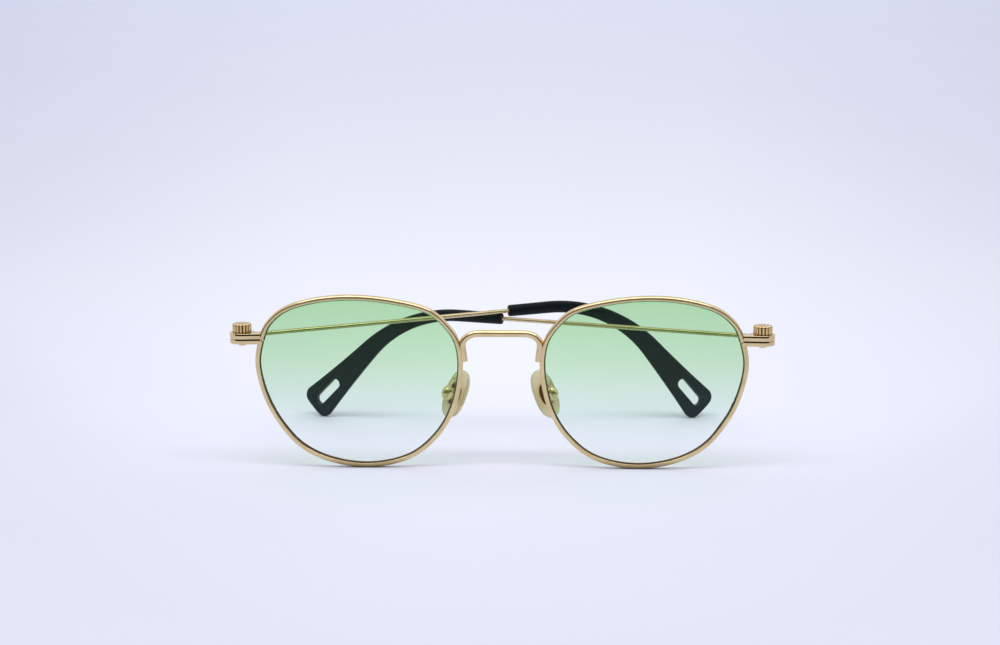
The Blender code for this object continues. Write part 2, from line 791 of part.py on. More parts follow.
def pad_frame(side, sign):
    """Where a pad hangs: its screw's middle, with X across the pad, Y towards the nose, Z up it."""
    up = Vector((-sign * math.sin(PAD_LEAN), 0.0, math.cos(PAD_LEAN)))
    out = Vector((-sign * math.cos(PAD_SPLAY[side]), math.sin(PAD_SPLAY[side]), 0.0))
    out = (out - up * out.dot(up)).normalized()
    across = out.cross(up)
    right = nasal_edge(ARM_ROOT_Z) + PAD_AXIS_INSET[side]
    place = Vector((sign * right, RIM_PLANE_Y + PAD_AXIS_BEHIND, ARM_ROOT_Z - PAD_AXIS_DROP))
    axes = Matrix((across, out, up)).transposed().to_4x4()
    return Matrix.Translation(place) @ axes


def make_pad(side, sign, pivot):
    """The soft pad: a thick cushion with a flat back, upright sides and a crowned front."""
    half_width = PAD_WIDTH / 2
    steps = []
    for turn in map(math.radians, (10, 45, 90)):
        inset = PAD_BACK_ROUND * (1 - math.sin(turn))
        steps.append((inset, PAD_BACK_ROUND * (1 - math.cos(turn))))
    for turn in map(math.radians, (0, 25, 48, 68, 84)):
        inset = half_width * (1 - math.cos(turn))
        steps.append((inset, PAD_THICKNESS - PAD_CROWN * (1 - math.sin(turn))))
    sections = []
    for inset, depth in steps:
        size = 1 - inset / half_width
        ring = []
        for k in range(PAD_SECTION_POINTS):
            angle = 2 * math.pi * k / PAD_SECTION_POINTS
            z = signed_power(math.sin(angle), PAD_FULLNESS)
            across = signed_power(math.cos(angle), PAD_FULLNESS)
            x = across * half_width * (1 - PAD_TAPER * z)
            y = PAD_STANDOFF + JOINT_GAP + depth
            ring.append(Vector((x * size - sign * PAD_OFFSET, y, z * size * PAD_LENGTH / 2)))
        sections.append(ring)
    return object_from(loft(sections), side + "_nose_pad", PAD_AMBER, pivot)


def make_pad_mount(side, pivot):
    """The metal mount behind the pad: a plate and a stud that rocks in the box."""
    w = PAD_STUD_WIDTH / 2
    h = PAD_STUD_HEIGHT / 2
    top = PAD_STANDOFF
    stud = block((-w, -PAD_STUD_TAIL, -h), (w, top - PAD_PLATE_THICKNESS / 2, h))
    mount = object_from(stud, side + "_pad_mount", GOLD, pivot)
    plate = block(
        (-PAD_PLATE_WIDTH / 2, top - PAD_PLATE_THICKNESS, -PAD_PLATE_HEIGHT / 2),
        (PAD_PLATE_WIDTH / 2, top, PAD_PLATE_HEIGHT / 2),
    )
    boolean(mount, object_from(plate, side + "_mount_plate", parent=pivot, cutter=True), "UNION")
    boolean(mount, pin_hole(side + "_mount_hole", pivot))
    return mount


def pin_hole(name, pivot):
    """A cutter for the pad screw's hole, along the pivot's X axis."""
    reach = PAD_PLATE_WIDTH * 2
    place = Matrix.Translation((-reach / 2, 0, 0)) @ Matrix.Rotation(math.radians(90), 4, "Y")
    bm = cylinder(PAD_SCREW_DIAMETER / 2 + JOINT_GAP, reach, 16, place)
    return object_from(bm, name, parent=pivot, cutter=True)


def box_half_width():
    return PAD_STUD_WIDTH / 2 + JOINT_GAP + BOX_WALL


def make_pad_screw(side, pivot):
    """The small screw across the box."""
    half = box_half_width()
    turn = Matrix.Rotation(math.radians(90), 4, "Y")
    head_at = Matrix.Translation((half + SOLDER_GAP, 0, 0)) @ turn
    head = cylinder(PAD_SCREW_HEAD_DIAMETER / 2, PAD_SCREW_HEAD_HEIGHT, 20, head_at)
    screw = object_from(head, side + "_pad_screw", GOLD_SCREW, pivot)
    length = 2 * half + SOLDER_GAP + PAD_SCREW_HEAD_HEIGHT / 2
    shank = cylinder(PAD_SCREW_DIAMETER / 2, length, 16, Matrix.Translation((-half, 0, 0)) @ turn)
    boolean(screw, object_from(shank, side + "_pad_shank", parent=pivot, cutter=True), "UNION")
    return screw


def make_pad_arm(side, sign, frame, pivot):
    """The bent arm from the rim's back to the box that holds the pad's stud."""
    back = -(PAD_STUD_TAIL + BOX_BACK_CLEARANCE + BOX_WALL)
    root_x = sign * (nasal_edge(ARM_ROOT_Z) + RIM_WIDTH / 2)
    root_y = rim_depth(abs(root_x), ARM_ROOT_Z) + RIM_DEPTH / 2 + SOLDER_GAP
    root = Vector((root_x, root_y, ARM_ROOT_Z))
    half = box_half_width()
    high = BOX_HEIGHT / 2
    beside = -sign * half * 0.6
    joint = frame @ Vector((beside, back, high * 0.3))
    over = frame @ Vector((beside, back, high + ARM_DIAMETER * 0.6))
    knee = root.lerp(over, 0.6) + Vector((0.0, 0.0, ARM_DIAMETER * 0.8))
    outwards = sign * ARM_DIAMETER * 0.3
    points = [
        root,
        root + Vector((0.0, ARM_STRAIGHT, 0.0)),
        root + Vector((outwards, ARM_STRAIGHT + ARM_LOOP, 0.0)),
        knee,
        over,
        joint,
    ]
    arm = tube(side + "_pad_arm", smooth_through(points, 4), ARM_DIAMETER / 2, GOLD, 2)
    outer = block((-half, back, -high), (half, BOX_FRONT, high))
    boolean(arm, object_from(outer, side + "_box", parent=pivot, cutter=True), "UNION")
    inner_half = PAD_STUD_WIDTH / 2 + JOINT_GAP
    inner_high = PAD_STUD_HEIGHT / 2 + BOX_BACK_CLEARANCE
    inner = block(
        (-inner_half, back + BOX_WALL, -inner_high),
        (inner_half, PAD_STANDOFF, inner_high),
    )
    boolean(arm, object_from(inner, side + "_box_room", parent=pivot, cutter=True))
    boolean(arm, pin_hole(side + "_box_hole", pivot))
    return arm


def make_side(side, sign):
    envelope = rim_envelope(side, sign)
    make_rim(side, sign)
    make_lens(side, sign)
    place = Matrix.Translation((sign * HINGE_X, 0.0, HINGE_Z))
    make_lug(side, sign, place, True, envelope)
    make_lug(side, sign, place, False, envelope)
    make_hinge_screw(side, place)
    make_temple(side, sign)
    frame = pad_frame(side, sign)
    pivot = empty(side + "_pad_axis", frame)
    make_pad_arm(side, sign, frame, pivot)
    make_pad_mount(side, pivot)
    make_pad_screw(side, pivot)
    make_pad(side, sign, pivot)
    return envelope


def stand_on_origin():
    """Move the whole so that its box's bottom centre is the origin."""
    bpy.context.view_layer.update()
    graph = bpy.context.evaluated_depsgraph_get()
    places = []
    for part in PARTS.objects:
        if part.type == "MESH":
            evaluated = part.evaluated_get(graph)
            mesh = evaluated.to_mesh()
            places += [part.matrix_world @ v.co for v in mesh.vertices]
            evaluated.to_mesh_clear()
    low = Vector([min(p[k] for p in places) for k in range(3)])
    high = Vector([max(p[k] for p in places) for k in range(3)])
    ROOT.location = (-(low.x + high.x) / 2, -(low.y + high.y) / 2, -low.z)


clear_scene()
PARTS = new_collection("sunglasses")
CUTTERS = new_collection("cutters")
ROOT = bpy.data.objects.new("sunglasses_root", None)
PARTS.objects.link(ROOT)
make_bridge([make_side(side, sign) for side, sign in SIDES.items()])
stand_on_origin()
bpy.context.view_layer.update()
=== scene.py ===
import json
import math

import bmesh
import bpy
import numpy as np
from mathutils import Matrix, Vector


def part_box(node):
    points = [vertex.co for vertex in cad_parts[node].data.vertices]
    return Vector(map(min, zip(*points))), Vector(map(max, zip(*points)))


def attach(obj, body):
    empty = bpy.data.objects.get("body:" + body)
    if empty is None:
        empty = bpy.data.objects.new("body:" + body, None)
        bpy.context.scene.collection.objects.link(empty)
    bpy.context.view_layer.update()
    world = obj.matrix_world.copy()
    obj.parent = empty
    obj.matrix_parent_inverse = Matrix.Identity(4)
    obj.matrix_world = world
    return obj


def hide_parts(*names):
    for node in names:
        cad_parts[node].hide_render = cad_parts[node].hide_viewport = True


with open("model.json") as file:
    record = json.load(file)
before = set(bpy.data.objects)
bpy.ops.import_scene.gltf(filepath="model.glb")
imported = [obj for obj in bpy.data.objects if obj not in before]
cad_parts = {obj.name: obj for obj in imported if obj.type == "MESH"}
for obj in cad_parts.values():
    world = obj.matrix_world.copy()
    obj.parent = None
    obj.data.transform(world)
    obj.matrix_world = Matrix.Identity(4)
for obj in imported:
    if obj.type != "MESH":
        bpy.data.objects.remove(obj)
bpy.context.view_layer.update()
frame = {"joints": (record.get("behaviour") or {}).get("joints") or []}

# Sizes are in metres and follow the CAD model's, with finer edges, grooves and hollows. Places
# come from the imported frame.
MM = 0.001
SIDES = {"left": -1.0, "right": 1.0}
JOINTS = {joint["name"]: joint for joint in frame["joints"]}
HINGE = {side: Vector(JOINTS[side + "_temple_hinge"]["pos_m"]) for side in SIDES}
PAD_PIVOT = {side: Vector(JOINTS[side + "_pad_rock"]["pos_m"]) for side in SIDES}

EYE_WIDTH = 51.2 * MM
EYE_HEIGHT = 44.0 * MM
EYE_GAP = 18.8 * MM
EYE_SHAPE = (
    (0.632, 0.024),
    (0.783, 0.105),
    (0.887, 0.237),
    (0.962, 0.402),
    (1.0, 0.6),
    (0.973, 0.766),
    (0.929, 0.859),
    (0.84, 0.936),
    (0.687, 0.986),
    (0.515, 1.0),
    (0.333, 0.978),
    (0.16, 0.922),
    (0.059, 0.817),
    (0.01, 0.705),
    (0.002, 0.548),
    (0.037, 0.353),
    (0.117, 0.185),
    (0.252, 0.053),
    (0.44, 0.0),
)
FRONT_TILT = math.radians(4.5)
BASE_CURVE_RADIUS = 130.0 * MM
EYE_SEGMENTS = 300
FINE_STEPS = 24
EYE_WALK_REACH = 0.8 * MM
WIRE_EDGE_ROUND = 0.15 * MM
SMALL_EDGE_ROUND = 0.12 * MM
BEVEL_ANGLE = math.radians(40.0)

RIM_WIDTH = 1.12 * MM
RIM_BACK_WIDTH = 1.46 * MM
RIM_DEPTH = 1.8 * MM
RIM_ROUND_OUT = 0.58 * MM
RIM_ROUND_IN = 0.22 * MM
GROOVE_DEPTH = 0.42 * MM
GROOVE_WIDTH = 0.9 * MM
RIM_PLANE_Y = -1.5 * MM
RIM_SPLIT_GAP = 0.3 * MM

LENS_THICKNESS = 1.5 * MM
LENS_RINGS = 16
LENS_GAP = 0.06 * MM
LENS_RIDGE = 0.55

BRIDGE_BAR_DIAMETER = 1.7 * MM
BRIDGE_HEIGHT = 34.1 * MM
BRIDGE_STRAIGHT = 12.4 * MM
BRIDGE_SHOULDER_DROP = 3.2 * MM
BRIDGE_FOOT_LENGTH = 3.8 * MM
BRIDGE_FOOT_STANDOFF = 0.35 * MM
# (share of the way in, share of the rise)
BRIDGE_SHOULDER = ((0.05, 0.38), (0.25, 0.69), (0.57, 0.91))
BRIDGE_CORNER = 0.9
BRIDGE_MIDDLE = 0.2

HINGE_Z = 32.2 * MM
HINGE_REACH = 4.25 * MM
JOINT_GAP = 0.06 * MM
UPPER_LUG_THICKNESS = 1.55 * MM
LOWER_LUG_THICKNESS = 1.1 * MM
LUG_END_RADIUS = 3.0 * MM
LUG_NECK_HALF_WIDTH = 1.0 * MM
LUG_OVERLAP = 0.55
LUG_ARC = (math.radians(-100), math.radians(115))
LUG_EDGE_ROUND = 0.16 * MM
LUG_GROOVE_DEPTH = 0.7 * MM
LUG_GROOVE_HEIGHT = 0.42 * MM
LUG_GROOVE_REACH = 1.4 * MM
LUG_GROOVE_BELOW_TOP = 0.1 * MM
LUG_RAISE = 0.28 * MM
POCKET_ANGLE = math.radians(18)
WIRE_START = 3.38 * MM
LEAF_THICKNESS = 0.8 * MM
LEAF_EYE_RADIUS = 2.1 * MM
LEAF_TONGUE_WIDTH = 1.5 * MM
LEAF_LENGTH = 6.6 * MM
LEAF_END = 5.0 * MM
SCREW_SHANK_DIAMETER = 2.0 * MM
SCREW_END_LENGTH = 0.4 * MM
SCREW_END_CHAMFER = 0.25 * MM
SCREW_END_FLAT = 0.6
SCREW_SHANK_OVERLAP = 0.2 * MM
SCREW_HEAD_DIAMETER = 4.7 * MM
SCREW_HEAD_HEIGHT = 2.4 * MM
SCREW_HEAD_CROWN = 0.45 * MM
SCREW_FLUTES = 16
SCREW_FLUTE_POINTS = 14
SCREW_FLUTE_DEPTH = 0.36 * MM
SCREW_FLUTE_POWER = 2.2
SCREW_FLUTE_FADE = 0.3
# (mm above the head's foot or below its top, mm inwards, share of the flutes' depth)
SCREW_FOOT_RINGS = ((0.0, 0.3, 0.0), (0.04, 0.12, 0.6), (0.14, 0.03, 0.95), (0.3, 0.0, 1.0))
SCREW_TOP_RINGS = ((0.01, 0.12, 0.2), (0.02, 0.3, 0.0))
SCREW_HUB = 0.3
SCREW_VALLEY_INNER = 0.7
SCREW_VALLEY_DEPTH = 0.62
SCREW_VALLEY_FOOT = 0.1 * MM
SCREW_VALLEY_TOP = 0.3

TEMPLE_FOLD = {"left": math.radians(26.3), "right": math.radians(25.9)}
TEMPLE_RISE = {"left": math.radians(0.3), "right": math.radians(-1.4)}
TIP_DROP = {"left": math.radians(48.6), "right": math.radians(44.5)}
WIRE_DIAMETER = 1.1 * MM
WIRE_LIFT = LEAF_THICKNESS / 2 + WIRE_DIAMETER / 2
WIRE_IN_SLEEVE = 3 * WIRE_DIAMETER
SLEEVE_START = 72.1 * MM
BEND_START = {"left": 83.5 * MM, "right": 85.0 * MM}
BEND_RADIUS = 40.0 * MM
SLEEVE_HEIGHT = 3.0 * MM
SLEEVE_WIDTH = 2.4 * MM
SLEEVE_BEND_HEIGHT = 3.1 * MM
SLEEVE_EDGE_ROUND = 0.35 * MM
TIP_SECTION_POINTS = 56
TIP_SQUARENESS = 1.2
BORE_GAP = 0.04 * MM
PADDLE_WIDTH = 9.3 * MM
PADDLE_FLARE = 2.2
PADDLE_THICKNESS = 2.2 * MM
PADDLE_CORNER = 2.6 * MM
PADDLE_EDGE_ROUND = 0.8 * MM
SLOT_LENGTH = 9.5 * MM
SLOT_WIDTH = 2.6 * MM
SLOT_TO_END = 2.1 * MM
SLOT_EDGE_ROUND = 0.3 * MM
SLOT_FLARE_RAISE = 0.02 * MM

PAD_SPLAY = {"left": math.radians(54.0), "right": math.radians(61.0)}
PAD_LEAN = math.radians(20.0)
PAD_LENGTH = 12.6 * MM
PAD_WIDTH = 6.0 * MM
PAD_THICKNESS = 2.3 * MM
PAD_FULLNESS = 0.84
PAD_BACK_ROUND = 0.45 * MM
PAD_BACK_INSET = 0.3
PAD_CROWN = 1.2 * MM
PAD_SECTION_POINTS = 96
PAD_HOLLOW_SQUASH = 0.75
PAD_HOLLOW_STEPS = (  # (share of the half width inwards, mm deep)
    (0.98, 0.8),
    (0.7, 0.8),
    (0.55, 0.75),
    (0.49, 0.55),
    (0.47, 0.3),
    (0.45, 0.06),
    (0.41, 0.0),
)
PAD_RAISE = 0.5 * MM
PAD_STANDOFF = 1.3 * MM
PAD_OFFSET = 0.78 * MM
PAD_STUD_WIDTH = 1.2 * MM
PAD_STUD_HEIGHT = 2.0 * MM
PAD_STUD_TAIL = 0.9 * MM
PAD_PLATE_WIDTH = 1.8 * MM
PAD_PLATE_HEIGHT = 3.2 * MM
PAD_PLATE_THICKNESS = 0.3 * MM
BOX_WALL = 0.5 * MM
BOX_HEIGHT = 3.4 * MM
BOX_FRONT = 0.55 * MM
BOX_ROUND_RADIUS = 1.6 * MM
BOX_ROUND_FRONT = 0.65 * MM
BOX_BACK_CLEARANCE = 0.25 * MM
BOX_BACK = PAD_STUD_TAIL + BOX_BACK_CLEARANCE + BOX_WALL
BOX_FULLNESS = 1.2
BOX_HALF_WIDTH = PAD_STUD_WIDTH / 2 + JOINT_GAP + BOX_WALL
PAD_SCREW_DIAMETER = 0.9 * MM
PAD_SCREW_HEAD_DIAMETER = 1.5 * MM
PAD_SCREW_HEAD_HEIGHT = 0.3 * MM
PAD_SCREW_STAND = 0.05 * MM
PAD_SCREW_ROUND = 0.16 * MM
PAD_SCREW_FOOT = 0.5
PAD_SCREW_HUB = 0.3
PAD_SCREW_SLOT_HALF = 0.11 * MM
PAD_SCREW_SLOT_DEPTH = 0.17 * MM
ARM_DIAMETER = 1.0 * MM
ARM_ROOT_Z = 22.6 * MM
ARM_STRAIGHT = 1.2 * MM
ARM_LOOP = 1.0 * MM
ARM_EDGE_ROUND = 0.1 * MM
ARM_ROOT_SINK = 0.15 * MM
# Shares of the box's half width; of that, its depth and half height; of its depth and the wire's
# thickness; of the way to the box and the thickness; and of the thickness
ARM_ASIDE = 0.6
ARM_JOINT = (0.6, 0.45, 0.2)
ARM_OVER = (0.8, 0.5)
ARM_KNEE = (0.6, 0.8)
ARM_LEAN = 0.3

# Tones, each as stops of (place, linear colour), and where they lie
LENS_LEVELS = [corner.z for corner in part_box("left_lens")]
LENS_TINT = (
    (0.0, (0.985, 0.995, 0.99)),
    (0.1, (0.965, 0.985, 0.98)),
    (0.27, (0.85, 0.94, 0.88)),
    (0.36, (0.755, 0.892, 0.77)),
    (0.45, (0.704, 0.865, 0.70)),
    (0.63, (0.594, 0.822, 0.56)),
    (0.8, (0.523, 0.78, 0.485)),
    (1.0, (0.47, 0.74, 0.42)),
)
# Painted shade and light in the groove round the lens: dark at the foot, and lighter above, for
# the lens's green light it catches.
RIM_GROOVE_SHADE_TONES = (
    (0.0, (0.10, 0.055, 0.02)),
    (0.4, (0.13, 0.09, 0.035)),
    (0.7, (0.24, 0.19, 0.08)),
    (1.0, (0.40, 0.33, 0.15)),
)
# Painted shade: the rim's gold darkens towards its foot, for the shadowed floor it reflects.
FOOT_SHADE_HEIGHT = 2.6 * MM
FOOT_SHADE_TONES = ((0.1, (0.42, 0.39, 0.34)), (0.4, (0.64, 0.62, 0.56)), (1.0, (1.0, 1.0, 1.0)))
# Painted shade: the tips get blacker high up, on the straight sleeve.
TIP_HIGH_SHADE = ((0.55, (1.0, 1.0, 1.0)), (0.78, (0.35, 0.33, 0.38)))
# The pads' amber, with painted shade making it browner towards the middle.
PAD_TONES_AND_SHADE = (
    (0.2, (0.60, 0.42, 0.20)),
    (0.45, (0.86, 0.73, 0.42)),
    (0.75, (0.92, 0.86, 0.60)),
    (1.0, (0.92, 0.87, 0.67)),
)
# Painted shade and reflection in the pads' hollows.
HOLLOW_SHADE_TONES = ((0.3, (0.13, 0.06, 0.018)), (0.7, (0.19, 0.10, 0.035)))
TIP_TONES = ((0.3, (0.008, 0.017, 0.018)), (0.7, (0.011, 0.021, 0.023)))
FLOOR_DRIFT = 0.036
FLOOR_OPENING = 0.5
FLOOR_NARROWNESS = 1.6
FLOOR_FADE_BEHIND = 0.03
# A painted pool of light on the floor: brightest near the object, darker further out.
FLOOR_LIGHT_POOL_TONES = (
    (0.0, (0.875, 0.898, 0.99)),
    (0.1, (0.865, 0.888, 0.99)),
    (0.2, (0.81, 0.83, 0.95)),
    (0.28, (0.765, 0.785, 0.905)),
    (0.33, (0.71, 0.73, 0.855)),
    (0.4, (0.675, 0.692, 0.81)),
    (1.0, (0.66, 0.677, 0.79)),
)
FLOOR_BRIGHT_Y = 0.22
FLOOR_HALF = 3.0
FLOOR_FAR_TINT = (
    (0.08, (1.0, 1.0, 1.0)),
    (0.25, (1.0, 1.006, 1.04)),
    (0.6, (1.0, 1.016, 1.085)),
)
WORLD_BANDS = (
    (0.44, (0.2, 0.19, 0.18)),
    (0.56, (0.65, 0.65, 0.66)),
    (0.72, (0.72, 0.72, 0.74)),
    (0.8, (0.93, 0.93, 0.95)),
)
SKY_BEHIND = (-0.55, 0.0)
SKY_RISE = 0.5

# The view and the light, in metres, radians, pixels and watts
CAMERA_DISTANCE = 0.6
CAMERA_ELEVATION = math.radians(12.35)
CAMERA_YAW = math.radians(-2.09)
CAMERA_ROLL = math.radians(-0.16)
FOCAL_PIXELS = 2435.0
IMAGE_WIDTH = 1000.0
TARGET_PIXEL = (501.4, 380.8)
IMAGE_CENTRE = (500.0, 322.5)
SENSOR_WIDTH = 36.0
CAMERA_CLIP = (0.01, 20.0)
VIEW_HEIGHT = 22.0 * MM
LIGHT_PLACE = (0.0, -0.25, 0.65)
LIGHT_AIM = (0.0, -0.01, 0.0)
LIGHT_SIZE = (0.9, 0.22)
LIGHT_POWER = 1.9


# Materials


def new_material(name):
    made = bpy.data.materials.new(name)
    made.use_nodes = True
    return made, made.node_tree, made.node_tree.nodes["Principled BSDF"]


def dial(made, **inputs):
    """Sets a node's inputs by name, with _ for a space."""
    for key, value in inputs.items():
        made.inputs[key.replace("_", " ")].default_value = value
    return made


def node(tree, kind, **inputs):
    return dial(tree.nodes.new(kind), **inputs)


def noise(tree, scale, detail):
    """Noise over the object's own coordinates, in cycles per metre."""
    made = node(tree, "ShaderNodeTexNoise", Scale=scale, Detail=detail)
    tree.links.new(coordinates(tree), made.inputs["Vector"])
    return made.outputs["Fac"]


def coordinates(tree, kind="Object"):
    return tree.nodes.new("ShaderNodeTexCoord").outputs[kind]


def axes_of(tree, place):
    split = tree.nodes.new("ShaderNodeSeparateXYZ")
    tree.links.new(place, split.inputs["Vector"])
    return split.outputs


def spread(tree, source, low, high):
    """Map the noise's usual 0.3 to 0.7 to low..high."""
    made = node(tree, "ShaderNodeMapRange", From_Min=0.3, From_Max=0.7, To_Min=low, To_Max=high)
    tree.links.new(source, made.inputs["Value"])
    return made.outputs["Result"]


def ramp(tree, source, stops):
    made = tree.nodes.new("ShaderNodeValToRGB")
    elements = made.color_ramp.elements
    while len(elements) < len(stops):
        elements.new(0.5)
    for element, (place, colour) in zip(elements, stops):
        element.position = place
        element.color = (*colour, 1.0)
    tree.links.new(source, made.inputs["Fac"])
    return made.outputs["Color"]


def math_node(tree, operation, *values):
    made = node(tree, "ShaderNodeMath")
    made.operation = operation
    for k, value in enumerate(values):
        if isinstance(value, float):
            made.inputs[k].default_value = value
        else:
            tree.links.new(value, made.inputs[k])
    return made.outputs["Value"]


def bump(tree, shader, source, strength, distance):
    made = node(tree, "ShaderNodeBump", Strength=strength, Distance=distance)
    tree.links.new(source, made.inputs["Height"])
    tree.links.new(made.outputs["Normal"], shader.inputs["Normal"])


def tinted(tree, tone, tint):
    """One colour times another."""
    made = node(tree, "ShaderNodeVectorMath")
    made.operation = "MULTIPLY"
    tree.links.new(tone, made.inputs[0])
    tree.links.new(tint, made.inputs[1])
    return made.outputs["Vector"]


def height_share(tree, low, high):
    """The height on the object, from 0 at the low level to 1 at the high one."""
    share = node(tree, "ShaderNodeMapRange", From_Min=low, From_Max=high)
    tree.links.new(axes_of(tree, coordinates(tree))["Z"], share.inputs["Value"])
    return share.outputs["Result"]


def finish(tree, shader, tone, scale, detail, smooth, rough):
    """Gives the shader its colour, and a roughness that drifts between two values."""
    tree.links.new(tone, shader.inputs["Base Color"])
    polish = spread(tree, noise(tree, scale, detail), smooth, rough)
    tree.links.new(polish, shader.inputs["Roughness"])


def gold_material(name, pale, deep, smooth, rough, foot=False):
    """Polished plating: a faint drift of tone, a polish that varies, and painted shade towards a
    foot.
    """
    made, tree, shader = new_material(name)
    dial(shader, Metallic=1.0)
    tone = ramp(tree, noise(tree, 260.0, 2.0), ((0.35, deep), (0.65, pale)))
    if foot:
        tone = tinted(tree, tone, ramp(tree, height_share(tree, 0.0, FOOT_SHADE_HEIGHT), FOOT_SHADE_TONES))
    finish(tree, shader, tone, 1500.0, 4.0, smooth, rough)
    bump(tree, shader, noise(tree, 5200.0, 2.0), 0.12, 0.02 * MM)
    return made


def groove_shade_material(stops, name="gold_groove_painted_shade", by_height=False):
    """Painted shade in narrow grooves, as a dark gold. Its tone drifts, or follows the height on
    the lens.
    """
    made, tree, shader = new_material(name)
    dial(shader, Metallic=1.0)
    source = height_share(tree, *LENS_LEVELS) if by_height else noise(tree, 300.0, 2.0)
    finish(tree, shader, ramp(tree, source, stops), 1500.0, 3.0, 0.45, 0.6)
    return made


def lens_material():
    """Tinted glass: green at the top, fading downwards to almost clear."""
    made, tree, shader = new_material("green_lens")
    tint = ramp(tree, height_share(tree, *LENS_LEVELS), LENS_TINT)
    tree.links.new(tint, shader.inputs["Base Color"])
    dial(shader, Roughness=0.0, IOR=1.2, Transmission_Weight=1.0)
    clear = tree.nodes.new("ShaderNodeBsdfTransparent")
    tree.links.new(tint, clear.inputs["Color"])
    light = tree.nodes.new("ShaderNodeLightPath")
    mix = tree.nodes.new("ShaderNodeMixShader")
    tree.links.new(light.outputs["Is Shadow Ray"], mix.inputs["Fac"])
    tree.links.new(shader.outputs["BSDF"], mix.inputs[1])
    tree.links.new(clear.outputs["BSDF"], mix.inputs[2])
    tree.links.new(mix.outputs["Shader"], tree.nodes["Material Output"].inputs["Surface"])
    return made


def tip_material():
    """Smooth black moulding with a soft gloss, and painted shade that makes the high, straight
    sleeve blacker.
    """
    made, tree, shader = new_material("black_tip")
    tone = ramp(tree, noise(tree, 300.0, 3.0), TIP_TONES)
    tone = tinted(tree, tone, ramp(tree, height_share(tree, *LENS_LEVELS), TIP_HIGH_SHADE))
    finish(tree, shader, tone, 900.0, 4.0, 0.3, 0.42)
    dial(shader, Specular_IOR_Level=0.12)
    bump(tree, shader, noise(tree, 3500.0, 2.0), 0.1, 0.03 * MM)
    return made


def pad_material(middle):
    """Soft silicone: cloudy, with a satin skin, amber in tone and browner towards the hollow at
    its middle with painted shade.
    """
    made, tree, shader = new_material("pad_amber")
    away = tree.nodes.new("ShaderNodeVectorMath")
    away.operation = "DISTANCE"
    tree.links.new(coordinates(tree), away.inputs[0])
    away.inputs[1].default_value = middle
    share = math_node(tree, "DIVIDE", away.outputs["Value"], PAD_LENGTH / 2)
    cloud = spread(tree, noise(tree, 220.0, 3.0), -0.08, 0.08)
    tone = ramp(tree, math_node(tree, "ADD", share, cloud), PAD_TONES_AND_SHADE)
    finish(tree, shader, tone, 1200.0, 3.0, 0.12, 0.2)
    dial(shader, Subsurface_Weight=0.6, Subsurface_Radius=(1.0, 0.7, 0.4))
    dial(shader, Subsurface_Scale=2.0 * MM, Transmission_Weight=0.5, IOR=1.41)
    bump(tree, shader, noise(tree, 2600.0, 2.0), 0.12, 0.03 * MM)
    return made


def hollow_shade_material():
    """The deep hollow in the back of a pad, brown with painted shade and a painted reflection of
    the gold plate.
    """
    made, tree, shader = new_material("pad_hollow")
    finish(tree, shader, ramp(tree, noise(tree, 400.0, 2.0), HOLLOW_SHADE_TONES), 1200.0, 3.0, 0.45, 0.6)
    return made


def floor_material():
    """A pale floor with a painted pool of light: brightest on a tongue that opens out behind the
    object.
    """
    made, tree, shader = new_material("studio_floor")
    axes = axes_of(tree, coordinates(tree))
    behind = math_node(tree, "SUBTRACT", axes["Y"], FLOOR_BRIGHT_Y)
    beyond = math_node(tree, "MAXIMUM", behind, 0.0)
    opening = math_node(tree, "ADD", behind, 1.0)
    opening = math_node(tree, "MULTIPLY_ADD", beyond, FLOOR_OPENING, opening)
    across = math_node(tree, "MULTIPLY_ADD", axes["Y"], FLOOR_DRIFT, axes["X"])
    across = math_node(tree, "MULTIPLY", across, FLOOR_NARROWNESS)
    beside = math_node(tree, "DIVIDE", across, opening)
    ahead = math_node(tree, "MULTIPLY", behind, -1.0)
    deep = math_node(tree, "MULTIPLY", behind, FLOOR_FADE_BEHIND)
    deep = math_node(tree, "MAXIMUM", deep, ahead)
    square = math_node(tree, "MULTIPLY", deep, deep)
    far = math_node(tree, "SQRT", math_node(tree, "MULTIPLY_ADD", beside, beside, square))
    drift = math_node(tree, "ADD", far, spread(tree, noise(tree, 6.0, 2.0), -0.01, 0.01))
    share = math_node(tree, "DIVIDE", axes["Y"], FLOOR_HALF)
    tone = tinted(tree, ramp(tree, drift, FLOOR_LIGHT_POOL_TONES), ramp(tree, share, FLOOR_FAR_TINT))
    tree.links.new(tone, shader.inputs["Base Color"])
    dial(shader, Roughness=0.85, Specular_IOR_Level=0.2)
    return made


BRIGHT_GOLD = "gold_metal", (0.78, 0.615, 0.36), (0.70, 0.54, 0.285), 0.07, 0.15
GOLD = gold_material(*BRIGHT_GOLD)
# The rims' gold, with painted shade at their foot.
RIM_GOLD_SHADED_FOOT = gold_material(*BRIGHT_GOLD, foot=True)
# A darker, rougher copy of the gold for the spring wires; the darker tone is painted shade.
WIRE_GOLD_SHADED = gold_material("gold_metal", (0.65, 0.52, 0.34), (0.57, 0.45, 0.26), 0.14, 0.24)
GOLD_SCREW = gold_material("gold_screw", (0.74, 0.56, 0.29), (0.64, 0.47, 0.21), 0.09, 0.16)
# Painted shade for the lugs' fine grooves.
GOLD_GROOVE_SHADE = groove_shade_material(((0.35, (0.10, 0.055, 0.02)), (0.65, (0.15, 0.09, 0.035))))
# Painted shade for the knurled head's valleys.
GOLD_VALLEY_SHADE = groove_shade_material(((0.35, (0.25, 0.16, 0.055)), (0.65, (0.33, 0.22, 0.08))))
# Painted shade for the groove round the lens, following the height.
RIM_GROOVE_SHADE = groove_shade_material(RIM_GROOVE_SHADE_TONES, "rim_groove_painted_shade", by_height=True)
LENS = lens_material()
TIP = tip_material()
PAD_HOLLOW_SHADE = hollow_shade_material()


# Mesh helpers


